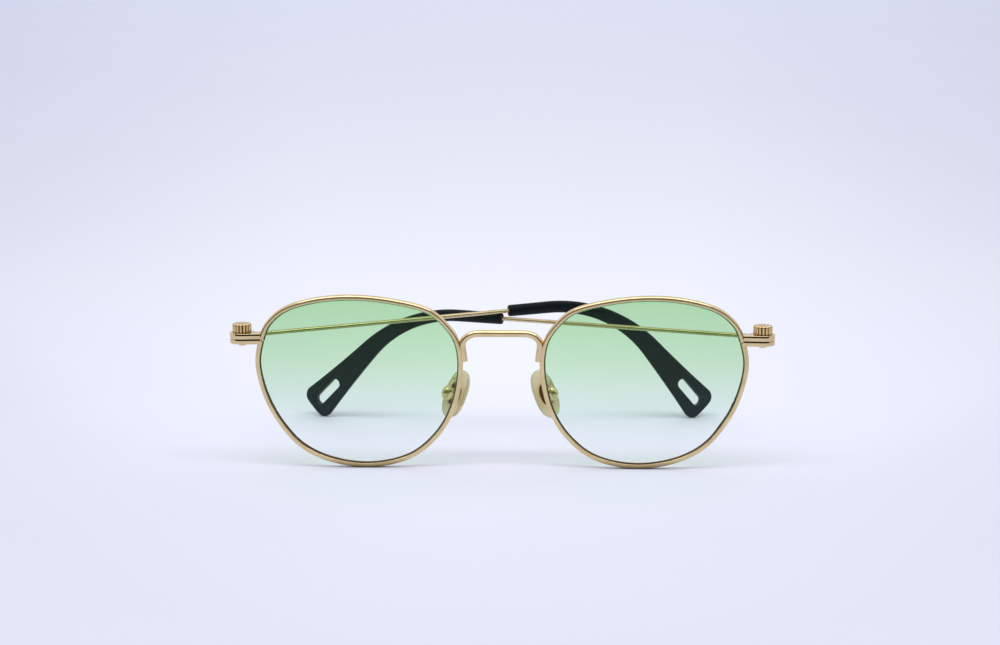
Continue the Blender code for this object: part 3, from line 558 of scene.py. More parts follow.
def piece(name, bm, body, nodes, look, matrix=None, angle=30.0):
    """A finished piece that rides on a body and stands for its CAD nodes."""
    return settle(loose(name, bm, look, matrix, angle), body, nodes)


def settle(made, body, nodes):
    """Says which body a piece rides on and which nodes it stands for."""
    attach(made, body)
    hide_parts(*nodes)
    made.data.materials[0].name.split(".")[0]
    return made


def loose(name, bm, look=None, matrix=None, angle=30.0):
    """A mesh object on its own, such as a piece that is still to be cut."""
    if matrix is not None:
        bmesh.ops.transform(bm, matrix=matrix, verts=bm.verts)
    bmesh.ops.recalc_face_normals(bm, faces=bm.faces)
    mesh = bpy.data.meshes.new(name)
    bm.to_mesh(mesh)
    bm.free()
    smooth(mesh, angle)
    if look:
        mesh.materials.append(look)
    return placed(name, mesh)


def placed(name, data):
    made = bpy.data.objects.new(name, data)
    bpy.context.scene.collection.objects.link(made)
    return made


def bevel(target, width, segments):
    modifier = target.modifiers.new("edge", "BEVEL")
    modifier.width = width
    modifier.segments = segments
    modifier.limit_method = "ANGLE"
    modifier.angle_limit = BEVEL_ANGLE


def carve(target, shapes=(), matrix=None, angle=30.0):
    """Cuts shapes out of a piece and makes its modifiers real."""
    tools = [loose("tool", bm, None, matrix) for bm in shapes]
    for tool in tools:
        for look in target.data.materials:
            tool.data.materials.append(look)
        modifier = target.modifiers.new(tool.name, "BOOLEAN")
        modifier.operation = "DIFFERENCE"
        modifier.object = tool
    bpy.context.view_layer.update()
    graph = bpy.context.evaluated_depsgraph_get()
    mesh = bpy.data.meshes.new_from_object(target.evaluated_get(graph), depsgraph=graph)
    target.modifiers.clear()
    target.data = mesh
    smooth(mesh, angle)
    for tool in tools:
        bpy.data.objects.remove(tool, do_unlink=True)


def smooth(mesh, angle):
    mesh.shade_smooth()
    mesh.set_sharp_from_angle(angle=math.radians(angle))


def loft(sections):
    """A closed skin over rings of points, with a flat face at each end."""
    bm = bmesh.new()
    rings = [[bm.verts.new(p) for p in section] for section in sections]
    for lower, upper in zip(rings, rings[1:]):
        for i in range(len(lower)):
            j = (i + 1) % len(lower)
            bm.faces.new((lower[i], lower[j], upper[j], upper[i]))
    bm.faces.new(rings[0])
    bm.faces.new(rings[-1])
    return bm


def shade(bm, chosen):
    """Gives the second material to the faces whose corners are all chosen by their index."""
    bm.verts.index_update()
    for face in bm.faces:
        if all(chosen(corner.index) for corner in face.verts):
            face.material_index = 1


def prism(outline, low, high):
    return loft([[Vector((x, y, z)) for x, y in outline] for z in (low, high)])


def cylinder(radius, low, high, segments=64):
    outline = [
        (radius * math.cos(a), radius * math.sin(a))
        for a in np.linspace(0.0, 2 * math.pi, segments, endpoint=False)
    ]
    return prism(outline, low, high)


def turned(profile, segments):
    """A body of revolution about Z from (radius, height) pairs."""
    angles = np.linspace(0.0, 2 * math.pi, segments, endpoint=False)
    return loft(
        [[Vector((r * math.cos(a), r * math.sin(a), z)) for a in angles] for r, z in profile]
    )


def block(low, high):
    low, high = Vector(low), Vector(high)
    corners = [(low.x, low.y), (high.x, low.y), (high.x, high.y), (low.x, high.y)]
    return prism(corners, low.z, high.z)


def join(*meshes):
    """One bmesh from several."""
    whole = bmesh.new()
    for bm in meshes:
        mesh = bpy.data.meshes.new("part")
        bm.to_mesh(mesh)
        bm.free()
        whole.from_mesh(mesh)
        bpy.data.meshes.remove(mesh)
    return whole


def catmull(a, b, c, d, t):
    return 0.5 * (
        2 * b
        + (c - a) * t
        + (2 * a - 5 * b + 4 * c - d) * t**2
        + (3 * b - a - 3 * c + d) * t**3
    )


def rounding(radius, degrees):
    """A round corner's distances from its two sides at each angle."""
    return [(radius * (1 - math.sin(a)), radius * (1 - math.cos(a))) for a in np.radians(degrees)]


def oval(points, power):
    """An outline between an ellipse and a rectangle: (across, up), each from -1 to 1."""
    angles = [2 * math.pi * k / points for k in range(points)]
    return [(signed_power(math.cos(a), power), signed_power(math.sin(a), power)) for a in angles]


def signed_power(value, power):
    return math.copysign(abs(value) ** power, value)


def smooth_through(points, steps):
    points = [Vector(p) for p in points]
    padded = [2 * points[0] - points[1], *points, 2 * points[-1] - points[-2]]
    out = []
    for a, b, c, d in zip(padded, padded[1:], padded[2:], padded[3:]):
        out += [catmull(a, b, c, d, i / steps) for i in range(steps)]
    out.append(points[-1])
    return out


def tube(points, radius, sides, edge):
    """A round wire along points, its ends rounded by edge."""
    along = np.cumsum([0.0] + [(q - p).length for p, q in zip(points, points[1:])])
    turns = [math.radians(a) for a in (0, 20, 40, 60, 80)]

    def heading(k):
        return (points[min(k + 1, len(points) - 1)] - points[max(k - 1, 0)]).normalized()

    def cap(end, inwards):
        ahead = heading(end)
        return [
            (points[end] + inwards * ahead * edge * (1 - math.sin(a)), ahead, 1 - math.cos(a))
            for a in turns
        ]

    rings = cap(0, 1)[::-1]
    rings += [
        (points[k], heading(k), 0.0)
        for k in range(len(points))
        if edge < along[k] < along[-1] - edge
    ]
    rings += cap(len(points) - 1, -1)
    side = rings[0][1].orthogonal().normalized()
    sections = []
    for place, ahead, shrink in rings:
        side = (side - ahead * side.dot(ahead)).normalized()
        other = ahead.cross(side)
        r = radius - edge * shrink
        angles = np.linspace(0.0, 2 * math.pi, sides, endpoint=False)
        sections.append([place + (side * math.cos(a) + other * math.sin(a)) * r for a in angles])
    return loft(sections)


def arc(centre, radius, start, end, steps):
    return [
        (centre[0] + radius * math.cos(a), centre[1] + radius * math.sin(a))
        for a in np.linspace(start, end, steps + 1)
    ]


# The front


def eye_path():
    """The rim's outer edge on the right side as fine points, from the hinge over the top."""
    corners = [Vector((EYE_GAP / 2 + u * EYE_WIDTH, v * EYE_HEIGHT)) for u, v in EYE_SHAPE]
    count = len(corners)
    fine = []
    for k in range(count):
        a, b, c, d = (corners[(k + n) % count] for n in (-1, 0, 1, 2))
        fine += [catmull(a, b, c, d, i / FINE_STEPS) for i in range(FINE_STEPS)]
    start = next(
        k for k, p in enumerate(fine) if p.x > EYE_CENTRE.x and p.y <= HINGE_Z < fine[k + 1].y
    )
    share = (HINGE_Z - fine[start].y) / (fine[start + 1].y - fine[start].y)
    first = fine[start].lerp(fine[start + 1], share)
    return [first, *fine[start + 1 :], *fine[: start + 1], first]


class EyeWalk:
    """Even steps round the rim's outer edge, with the direction inwards at each."""

    def __init__(self, path):
        self.along = np.cumsum([0.0] + [(q - p).length for p, q in zip(path, path[1:])])
        self.length = self.along[-1]
        self.xs = [p.x for p in path]
        self.zs = [p.y for p in path]

    def place(self, distance):
        distance %= self.length
        x = np.interp(distance, self.along, self.xs)
        return Vector((x, np.interp(distance, self.along, self.zs)))

    def inwards(self, distance):
        reach = EYE_WALK_REACH
        ahead = (self.place(distance + reach) - self.place(distance - reach)).normalized()
        return Vector((-ahead.y, ahead.x))

    def line(self, offset, distances):
        return [self.place(d) + self.inwards(d) * offset for d in distances]

    def closed(self, offset):
        return self.line(offset, np.linspace(0.0, self.length, EYE_SEGMENTS, endpoint=False))

    def split(self, offset, gap):
        ends = LUG_RAISE + gap / 2, LUG_RAISE + self.length - gap / 2
        return self.line(offset, np.linspace(*ends, EYE_SEGMENTS + 1))


def face_depth(x, z):
    across = math.hypot(x - EYE_CENTRE.x, z - EYE_CENTRE.y)
    return BASE_CURVE_RADIUS - math.sqrt(BASE_CURVE_RADIUS**2 - across**2)


EYE_CENTRE = Vector(((EYE_GAP + EYE_WIDTH) / 2, EYE_HEIGHT / 2))
EYE = EyeWalk(eye_path())
HINGE_EDGE = EYE.place(0.0)
FRONT = Vector((0.0, HINGE["right"].y, HINGE["right"].z - HINGE_Z))


def rim_depth(x, z):
    tilt = (HINGE_Z - z) * math.tan(FRONT_TILT)
    return RIM_PLANE_Y + face_depth(x, z) - face_depth(*HINGE_EDGE) + tilt


def nasal_edge(height):
    beside = [p for p in eye_path() if p.x < EYE_CENTRE.x]
    return min(beside, key=lambda p: abs(p.y - height)).x


def on_front(line, depth, sign):
    return [FRONT + Vector((sign * p.x, rim_depth(p.x, p.y) + depth, p.y)) for p in line]


def rim_profile():
    """The rim wire's section: (distance inwards from its outer edge, depth)."""
    half = RIM_DEPTH / 2
    lip = GROOVE_WIDTH / 2
    outer = rounding(RIM_ROUND_OUT, range(0, 91, 10))
    inner = rounding(RIM_ROUND_IN, range(0, 91, 10))
    profile = [(v, -half + u) for u, v in outer]
    profile += [(RIM_WIDTH - u, -half + v) for u, v in inner]
    profile += [(RIM_WIDTH, -lip), (RIM_WIDTH - GROOVE_DEPTH, 0.0), (RIM_BACK_WIDTH, lip)]
    profile += [(RIM_BACK_WIDTH - v, half - u) for u, v in inner]
    profile += [(u, half - v) for u, v in outer]
    return profile


def make_rim(side, sign):
    profile = rim_profile()
    lines = [on_front(EYE.split(offset, RIM_SPLIT_GAP), depth, sign) for offset, depth in profile]
    bm = loft(list(zip(*lines)))
    deepest = profile.index((RIM_WIDTH - GROOVE_DEPTH, 0.0))
    groove = {deepest - 1, deepest, deepest + 1}
    # The groove's faces get the painted shade.
    shade(bm, lambda index: index % len(profile) in groove)
    rim = piece(side + "_eye_wire", bm, "front", [side + "_rim"], RIM_GOLD_SHADED_FOOT)
    rim.data.materials.append(RIM_GROOVE_SHADE)


def make_lens(side, sign):
    half = LENS_THICKNESS / 2
    ridge = half * LENS_RIDGE
    edge = EYE.closed(RIM_WIDTH + LENS_GAP)
    apex = EYE.closed(RIM_WIDTH + LENS_GAP - GROOVE_DEPTH)
    back_edge = EYE.closed(RIM_BACK_WIDTH + LENS_GAP)
    rings = [(k / LENS_RINGS, edge, -half) for k in range(1, LENS_RINGS + 1)]
    rings += [(1.0, edge, -ridge), (1.0, apex, 0.0), (1.0, back_edge, ridge)]
    rings += [(k / LENS_RINGS, back_edge, half) for k in range(LENS_RINGS, 0, -1)]
    sections = [
        on_front([EYE_CENTRE.lerp(p, share) for p in line], depth, sign)
        for share, line, depth in rings
    ]
    piece(side + "_tinted_lens", loft(sections), "front", [side + "_lens"], LENS, angle=25.0)


def make_bridge():
    shoulder = BRIDGE_HEIGHT - BRIDGE_SHOULDER_DROP
    foot = shoulder - BRIDGE_FOOT_LENGTH
    edge = nasal_edge(shoulder) - BRIDGE_FOOT_STANDOFF
    low_edge = nasal_edge(foot) - BRIDGE_FOOT_STANDOFF
    depth = rim_depth(edge, shoulder)
    rise = BRIDGE_SHOULDER_DROP
    side = BRIDGE_STRAIGHT / 2 * BRIDGE_CORNER
    half = [
        (low_edge, depth, foot),
        ((low_edge + edge) / 2, depth, (foot + shoulder) / 2),
        (edge, depth, shoulder),
        *[(edge + (side - edge) * u, depth, shoulder + rise * v) for u, v in BRIDGE_SHOULDER],
        (side, depth, BRIDGE_HEIGHT),
        (side * BRIDGE_MIDDLE, depth, BRIDGE_HEIGHT),
    ]
    points = half + [(-x, y, z) for x, y, z in reversed(half)]
    points = [FRONT + p for p in smooth_through(points, steps=14)]
    bm = tube(points, BRIDGE_BAR_DIAMETER / 2, sides=48, edge=WIRE_EDGE_ROUND)
    piece("bridge_bar", bm, "front", ["bridge"], GOLD, angle=40.0)


# Hinges


def lug_outline(sign):
    reach = HINGE_REACH + RIM_WIDTH * LUG_OVERLAP
    neck_y = rim_depth(*HINGE_EDGE)
    outline = [(-reach, neck_y - LUG_NECK_HALF_WIDTH)]
    outline += arc((0.0, 0.0), LUG_END_RADIUS, *LUG_ARC, 72)
    outline += [(-reach, neck_y + LUG_NECK_HALF_WIDTH)]
    return [(sign * x, y) for x, y in outline]


def pocket_outline(sign):
    radius = LEAF_EYE_RADIUS + JOINT_GAP
    inner = arc((0.0, 0.0), radius, math.pi + POCKET_ANGLE, 2 * math.pi - POCKET_ANGLE, 48)
    reach = LUG_END_RADIUS * 2
    front = -radius * math.sin(POCKET_ANGLE)
    outline = [(-reach, reach), (-reach, front), *inner[1:-1], (reach, front), (reach, reach)]
    return [(sign * x, y) for x, y in outline]


def groove_outline(sign):
    """The fine groove along a lug's front face, from the rim to its end past the screw."""
    (rim_x, rim_y), (eye_x, eye_y) = [(x * sign, y) for x, y in lug_outline(sign)[:2]]
    deep = LUG_GROOVE_DEPTH
    clear = -3 * LUG_END_RADIUS
    end = LUG_GROOVE_REACH
    front = -math.sqrt(LUG_END_RADIUS**2 - end**2)
    outline = [(rim_x, clear), (end, clear), (end, front), (eye_x, eye_y + deep)]
    outline.append((rim_x, rim_y + deep))
    return [(sign * x, y) for x, y in outline]


def wire_room(side, sign):
    """The room that the temple's wire sweeps above the leaf, from its inner limit to the fold."""
    fold = TEMPLE_FOLD[side]
    limit = fold + math.radians(JOINTS[side + "_temple_hinge"]["range_deg"][0])
    near, far = WIRE_START - JOINT_GAP, 4 * LUG_END_RADIUS
    half = WIRE_DIAMETER / 2 + JOINT_GAP
    outline = []
    for angle, aside in ((limit, -half), (fold, half)):
        along = Vector((-math.cos(angle), math.sin(angle)))
        beside = Vector((math.sin(angle), math.cos(angle))) * aside
        outline += [along * near + beside, along * far + beside][:: 1 if aside < 0 else -1]
    return [(sign * p.x, p.y) for p in outline]


def make_lug(side, sign, upper):
    """One lug, with the leaf's pocket, the screw's hole and fine grooves on its front, dark with
    painted shade.
    """
    level = "upper" if upper else "lower"
    if upper:
        low, high = LUG_RAISE + JOINT_GAP / 2, LUG_RAISE + UPPER_LUG_THICKNESS
    else:
        low, high = LUG_RAISE - LOWER_LUG_THICKNESS, LUG_RAISE - JOINT_GAP / 2
    place = Matrix.Translation(HINGE[side])
    plate = prism(lug_outline(sign), low, high)
    lug = loose(f"{side}_{level}_lug_plate", plate, GOLD, place)
    bevel(lug, LUG_EDGE_ROUND, 5)
    recess = LEAF_THICKNESS / 2 + JOINT_GAP
    down, up = (recess / 2, recess) if upper else (recess, recess / 2)
    pocket = prism(pocket_outline(sign), -down, up)
    through = 2 * UPPER_LUG_THICKNESS
    hole = cylinder(SCREW_SHANK_DIAMETER / 2 + JOINT_GAP, -through, through)
    plain = [pocket, hole]
    rise = LUG_GROOVE_HEIGHT
    grooves = [prism(groove_outline(sign), LUG_RAISE - rise / 2, LUG_RAISE + rise / 2)]
    if upper:
        room = prism(wire_room(side, sign), LEAF_THICKNESS / 2, high + WIRE_DIAMETER)
        plain.insert(1, room)
        below = LUG_GROOVE_BELOW_TOP
        grooves.append(prism(groove_outline(sign), high - rise - below, high - below))
    # The grooves' faces take the painted shade material.
    for groove in grooves:
        shade(groove, lambda index: True)
    lug.data.materials.append(GOLD_GROOVE_SHADE)
    carve(lug, plain + grooves, place)
    settle(lug, "front", [f"{side}_{level}_lug"])


def make_hinge_screw(side):
    """The pivot screw: a fluted head, a plain shank and a rounded end."""
    steps = SCREW_FLUTES * SCREW_FLUTE_POINTS
    top = UPPER_LUG_THICKNESS + JOINT_GAP
    radius = SCREW_HEAD_DIAMETER / 2

    def ring(height, size, depth):
        out = []
        for k in range(steps):
            angle = 2 * math.pi * k / steps
            wave = (0.5 - 0.5 * math.cos(SCREW_FLUTES * angle)) ** SCREW_FLUTE_POWER
            r = size - depth * wave
            out.append(Vector((r * math.cos(angle), r * math.sin(angle), height)))
        return out

    high = top + SCREW_HEAD_HEIGHT
    crown = SCREW_HEAD_CROWN
    flute = SCREW_FLUTE_DEPTH
    rings = [
        ring(top + up * MM, radius - inset * MM, flute * share)
        for up, inset, share in SCREW_FOOT_RINGS
    ]
    edge = rounding(crown, range(0, 85, 12))
    for k, (down, inset) in enumerate(edge):
        fade = SCREW_FLUTE_FADE * k / (len(edge) - 1)
        rings.append(ring(high - down, radius - inset, flute * (1 - fade)))
    rings += [
        ring(high - down * MM, radius - crown - inset * MM, flute * share)
        for down, inset, share in SCREW_TOP_RINGS
    ]
    rings.append(ring(rings[-1][0].z, radius * SCREW_HUB, 0.0))
    r = SCREW_SHANK_DIAMETER / 2
    end = -LOWER_LUG_THICKNESS - SCREW_END_LENGTH
    fall = SCREW_END_CHAMFER
    profile = [(r, top + SCREW_SHANK_OVERLAP), (r, end + fall)]
    profile += [(r - inset, end + up) for up, inset in rounding(fall, (20, 40, 60, 80))]
    profile += [(r * SCREW_END_FLAT, end)]
    whole = join(loft(rings), turned(profile, 64))
    whole.verts.index_update()
    # Painted shade: the faces deep in the flutes' valleys get a darker gold.
    shaded_valley = {
        corner.index
        for corner in whole.verts
        if radius * SCREW_VALLEY_INNER < corner.co.xy.length < radius - flute * SCREW_VALLEY_DEPTH
        and top + SCREW_VALLEY_FOOT < corner.co.z < high - crown * SCREW_VALLEY_TOP
    }
    shade(whole, lambda index: index in shaded_valley)
    place = Matrix.Translation(HINGE[side])
    screw = piece(
        side + "_knurled_screw", whole, "front", [side + "_hinge_screw"], GOLD_SCREW, place
    )
    screw.data.materials.append(GOLD_VALLEY_SHADE)


# Temples


class TemplePlane:
    """The temple seen from its side: places as (distance from the hinge, height above it)."""

    def __init__(self, side):
        self.rise = TEMPLE_RISE[side]
        self.drop = TIP_DROP[side]
        self.bend_start = BEND_START[side]
        self.turn = self.rise + self.drop
        self.lift = WIRE_LIFT + max(0.0, -math.sin(self.rise)) * LEAF_LENGTH
        along = Vector((math.cos(self.rise), math.sin(self.rise)))
        down = Vector((along.y, -along.x))
        self.centre = self.on_straight(self.bend_start) + down * BEND_RADIUS
        self.bend_end, self.last = self.on_bend(self.turn)
        inner = Vector((-self.last.y, self.last.x)) * -(PADDLE_WIDTH / 2)
        corner = self.last * -PADDLE_CORNER - inner.normalized() * PADDLE_CORNER
        lowest = inner.y + corner.y - PADDLE_CORNER
        run = (self.bend_end.y + HINGE_Z + lowest) / math.sin(self.drop)
        self.bend_stop = self.bend_start + BEND_RADIUS * self.turn
        self.length = self.bend_stop + run

    def share(self, s):
        """How far a place lies from the sleeve's start to the bend's end, up to 1."""
        return min(1.0, (s - SLEEVE_START) / (self.bend_stop - SLEEVE_START))

    def on_straight(self, s):
        return Vector((s * math.cos(self.rise), self.lift + s * math.sin(self.rise)))

    def on_bend(self, angle):
        heading = self.rise - angle
        out = Vector((-math.sin(heading), math.cos(heading)))
        return self.centre + out * BEND_RADIUS, Vector((math.cos(heading), math.sin(heading)))

    def at(self, s):
        if s <= self.bend_start:
            return self.on_straight(s), Vector((math.cos(self.rise), math.sin(self.rise)))
        angle = (s - self.bend_start) / BEND_RADIUS
        if angle <= self.turn:
            return self.on_bend(angle)
        return self.bend_end + self.last * (s - self.bend_stop), self.last


def temple_matrix(side, sign):
    fold = TEMPLE_FOLD[side]
    heading = math.atan2(math.sin(fold), -sign * math.cos(fold))
    return Matrix.Translation(HINGE[side]) @ Matrix.Rotation(heading, 4, "Z")


def tip_size(plane, s):
    """(half height in the temple's plane, half thickness) of the sleeve and paddle."""
    if s <= plane.bend_start:
        t = (s - SLEEVE_START) / (plane.bend_start - SLEEVE_START)
        height = SLEEVE_HEIGHT + (SLEEVE_BEND_HEIGHT - SLEEVE_HEIGHT) * t
    else:
        run = plane.length - PADDLE_CORNER - plane.bend_start
        t = min(1.0, (s - plane.bend_start) / run)
        height = SLEEVE_BEND_HEIGHT + (PADDLE_WIDTH - SLEEVE_BEND_HEIGHT) * t**PADDLE_FLARE
    share = plane.share(s)
    half_width = (SLEEVE_WIDTH + (PADDLE_THICKNESS - SLEEVE_WIDTH) * share) / 2
    half_height = height / 2
    half_height -= taken_off(PADDLE_CORNER, s - (plane.length - PADDLE_CORNER))
    half_width -= taken_off(PADDLE_EDGE_ROUND, s - (plane.length - PADDLE_EDGE_ROUND))
    fall = taken_off(SLEEVE_EDGE_ROUND, SLEEVE_EDGE_ROUND - (s - SLEEVE_START))
    return half_height - fall, half_width - fall


def taken_off(radius, into):
    """What a round corner takes off, a distance into it."""
    if into <= 0:
        return 0.0
    return radius - math.sqrt(max(0.0, radius**2 - into**2))


def tip_stations(plane):
    start = rounding(SLEEVE_EDGE_ROUND, range(0, 90, 18))
    stations = [SLEEVE_START + into for _, into in start]
    stations += list(np.linspace(SLEEVE_START + SLEEVE_EDGE_ROUND, plane.bend_stop, 72))
    corner = plane.length - PADDLE_CORNER
    stations += list(np.linspace(plane.bend_stop, corner, 52))[1:]
    stations += [corner + PADDLE_CORNER * math.sin(a) for a in np.radians(range(5, 86, 5))]
    return stations


def tip_skin(plane):
    sections = []
    for s in tip_stations(plane):
        place, heading = plane.at(s)
        across = Vector((-heading.y, heading.x))
        half_height, half_width = tip_size(plane, s)
        power = 2.0 + TIP_SQUARENESS * plane.share(s)
        ring = []
        for out, up in oval(TIP_SECTION_POINTS, 2 / power):
            point = place + across * (up * half_height)
            ring.append(Vector((point.x, out * half_width, point.y)))
        sections.append(ring)
    return loft(sections)


def slot_tool(plane):
    """The long hole through the paddle, flared at both faces for a rounded edge."""
    far, heading = plane.at(plane.length - SLOT_TO_END)
    half_run = (SLOT_LENGTH - SLOT_WIDTH) / 2
    middle = far - heading * (half_run + SLOT_WIDTH / 2)
    across = Vector((-heading.y, heading.x))
    axes = Matrix(
        (
            (heading.x, across.x, 0.0, middle.x),
            (0.0, 0.0, 1.0, 0.0),
            (heading.y, across.y, 0.0, middle.y),
            (0.0, 0.0, 0.0, 1.0),
        )
    )
    half = PADDLE_THICKNESS / 2
    levels = [(0.0, 0.0)]
    for fall, more in rounding(SLOT_EDGE_ROUND, range(15, 91, 15)):
        levels.append((half - fall + SLOT_FLARE_RAISE, more))
    levels.append((half * 2, SLOT_EDGE_ROUND))
    levels = [(-d, f) for d, f in levels[:0:-1]] + levels[1:]
    sections = []
    for depth, more in levels:
        r = SLOT_WIDTH / 2 + more
        outline = arc((half_run, 0.0), r, -math.pi / 2, math.pi / 2, 24)
        outline += arc((-half_run, 0.0), r, math.pi / 2, 3 * math.pi / 2, 24)
        sections.append([Vector((x, y, depth)) for x, y in outline])
    bm = loft(sections)
    bmesh.ops.transform(bm, matrix=axes, verts=bm.verts)
    return bm


def in_temple(place):
    return Vector((place.x, 0.0, place.y))


def bore_tool(plane):
    """The bore in the sleeve that the spring wire ends in."""
    start = in_temple(plane.on_straight(SLEEVE_START - WIRE_DIAMETER))
    heading = in_temple(plane.on_straight(plane.bend_start)) - start
    place = Matrix.Translation(start) @ heading.to_track_quat("Z", "X").to_matrix().to_4x4()
    bm = cylinder(WIRE_DIAMETER / 2 + BORE_GAP, 0.0, 4 * WIRE_DIAMETER, 48)
    bmesh.ops.transform(bm, matrix=place, verts=bm.verts)
    return bm


def make_temple(side, sign):
    """A temple: the leaf on the screw, the spring wire and the sleeve with its paddle."""
    plane = TemplePlane(side)
    place = temple_matrix(side, sign)
    body = side + "_temple"

    half = LEAF_TONGUE_WIDTH / 2
    meet = math.asin(half / LEAF_EYE_RADIUS)
    outline = [(LEAF_END, -half), (LEAF_END, half)]
    outline += arc((0.0, 0.0), LEAF_EYE_RADIUS, meet, 2 * math.pi - meet, 64)
    bm = prism(outline, -LEAF_THICKNESS / 2, LEAF_THICKNESS / 2)
    leaf = loose(side + "_hinge_leaf", bm, GOLD, place)
    bevel(leaf, SMALL_EDGE_ROUND, 3)
    hole = cylinder(SCREW_SHANK_DIAMETER / 2 + JOINT_GAP, -2 * LEAF_THICKNESS, 2 * LEAF_THICKNESS)
    carve(leaf, [hole], place)
    settle(leaf, body, [side + "_temple_leaf"])

    reach = np.linspace(WIRE_START, SLEEVE_START + WIRE_IN_SLEEVE, 60)
    points = [in_temple(plane.on_straight(s)) for s in reach]
    wire = tube(points, WIRE_DIAMETER / 2, sides=40, edge=WIRE_EDGE_ROUND)
    # The wire's gold is darkened with painted shade.
    piece(side + "_spring_wire", wire, body, [side + "_temple_wire"], WIRE_GOLD_SHADED, place)

    tip = loose(side + "_ear_tip", tip_skin(plane), TIP, place)
    carve(tip, [slot_tool(plane), bore_tool(plane)], place, angle=35.0)
    settle(tip, body, [side + "_temple_tip"])


# Nose pads


def pad_frame(side, sign):
    """Where a pad hangs, with X across the pad, Y towards the nose and Z up it."""
    up = Vector((-sign * math.sin(PAD_LEAN), 0.0, math.cos(PAD_LEAN)))
    out = Vector((-sign * math.cos(PAD_SPLAY[side]), math.sin(PAD_SPLAY[side]), 0.0))
    out = (out - up * out.dot(up)).normalized()
    across = out.cross(up)
    axes = Matrix((across, out, up)).transposed().to_4x4()
    return Matrix.Translation(PAD_PIVOT[side] + Vector((0.0, 0.0, PAD_RAISE))) @ axes


def make_pad(side, sign, place):
    """The soft pad: a thick cushion with a slightly hollow back, upright sides and a crown."""
    half_width = PAD_WIDTH / 2
    rise = PAD_BACK_ROUND
    steps = [(half_width * inset, depth * MM) for inset, depth in PAD_HOLLOW_STEPS]
    steps += [
        (rise * (1 + PAD_BACK_INSET - math.sin(a)), rise * (1 - math.cos(a)))
        for a in np.radians(range(0, 91, 9))
    ]
    steps += [
        (
            half_width * (1 - math.cos(a)) + rise * PAD_BACK_INSET,
            PAD_THICKNESS - PAD_CROWN * (1 - math.sin(a)),
        )
        for a in np.radians(range(0, 88, 4))
    ]
    sections = []
    for number, (inset, depth) in enumerate(steps):
        size = 1 - (inset - rise * PAD_BACK_INSET) / half_width
        hollow = number < len(PAD_HOLLOW_STEPS)
        tall = PAD_LENGTH / 2 * (PAD_HOLLOW_SQUASH if hollow else 1.0)
        y = PAD_STANDOFF + JOINT_GAP + depth
        sections.append(
            [
                Vector((across * half_width * size - sign * PAD_OFFSET, y, up * size * tall))
                for across, up in oval(PAD_SECTION_POINTS, PAD_FULLNESS)
            ]
        )
    bm = loft(sections)
    # The hollow's faces get the painted shade.
    shade(bm, lambda index: index // PAD_SECTION_POINTS < len(PAD_HOLLOW_STEPS) - 1)
    look = pad_material(place @ Vector((-sign * PAD_OFFSET, PAD_STANDOFF, 0.0)))
    pad = piece(
        side + "_silicone_pad", bm, side + "_pad", [side + "_nose_pad"], look, place, angle=60.0
    )
    pad.data.materials.append(PAD_HOLLOW_SHADE)


def make_pad_mount(side, place):
    """The plate in the pad's back, and the stud that hangs on the pad screw."""
    w = PAD_STUD_WIDTH / 2
    h = PAD_STUD_HEIGHT / 2
    stud = block((-w, -PAD_STUD_TAIL, -h), (w, PAD_STANDOFF - PAD_PLATE_THICKNESS / 2, h))
    plate = block(
        (-PAD_PLATE_WIDTH / 2, PAD_STANDOFF - PAD_PLATE_THICKNESS, -PAD_PLATE_HEIGHT / 2),
        (PAD_PLATE_WIDTH / 2, PAD_STANDOFF, PAD_PLATE_HEIGHT / 2),
    )
    mount = loose(side + "_pad_stud", join(stud, plate), GOLD, place)
    bevel(mount, SMALL_EDGE_ROUND, 3)
    carve(mount)
    settle(mount, side + "_pad", [side + "_pad_mount"])


def make_pad_screw(side, place):
    """The small screw across the box, with a slotted head."""
    turn = Matrix.Rotation(math.radians(90), 4, "Y")
    r = PAD_SCREW_HEAD_DIAMETER / 2
    low = BOX_HALF_WIDTH + PAD_SCREW_STAND
    high = low + PAD_SCREW_HEAD_HEIGHT
    profile = [(r * PAD_SCREW_FOOT, low), (r, low), (r, high - PAD_SCREW_ROUND)]
    edge = rounding(PAD_SCREW_ROUND, (22, 45, 68, 90))
    profile += [(r - inset, high - down) for down, inset in edge]
    profile.append((r * PAD_SCREW_HUB, high))
    shank = cylinder(PAD_SCREW_DIAMETER / 2, -BOX_HALF_WIDTH, low + PAD_SCREW_STAND, 40)
    bm = join(turned(profile, 48), shank)
    screw = loose(side + "_pad_fixing", bm, GOLD_SCREW, place @ turn)
    half = PAD_SCREW_SLOT_HALF
    slot = block((-half, -2 * r, high - PAD_SCREW_SLOT_DEPTH), (half, 2 * r, high + r))
    carve(screw, [slot], place @ turn)
    settle(screw, "front", [side + "_pad_screw"])


def make_pad_box(side, place):
    """The small round box on the arm's end, open to the pad, with room for the stud."""
    angles = np.radians(np.linspace(4.0, 176.0, 40))
    shell = turned([(math.sin(a), -math.cos(a)) for a in angles], 64)
    full = BOX_FULLNESS
    radii = (BOX_ROUND_RADIUS, full * BOX_ROUND_RADIUS, BOX_HEIGHT / 2 * full, 1.0)
    middle = Matrix.Translation((0.0, BOX_FRONT - BOX_ROUND_FRONT, 0.0))
    box = loose(side + "_pad_box", shell, GOLD, place @ middle @ Matrix.Diagonal(radii))
    clear = 4 * BOX_ROUND_RADIUS
    front = block((-clear, BOX_FRONT, -clear), (clear, BOX_FRONT + clear, clear))
    inner = PAD_STUD_WIDTH / 2 + JOINT_GAP
    high = PAD_STUD_HEIGHT / 2 + BOX_BACK_CLEARANCE
    room = block((-inner, -BOX_BACK + BOX_WALL, -high), (inner, PAD_STANDOFF, high))
    carve(box, [front, room], place)
    settle(box, "front", [])


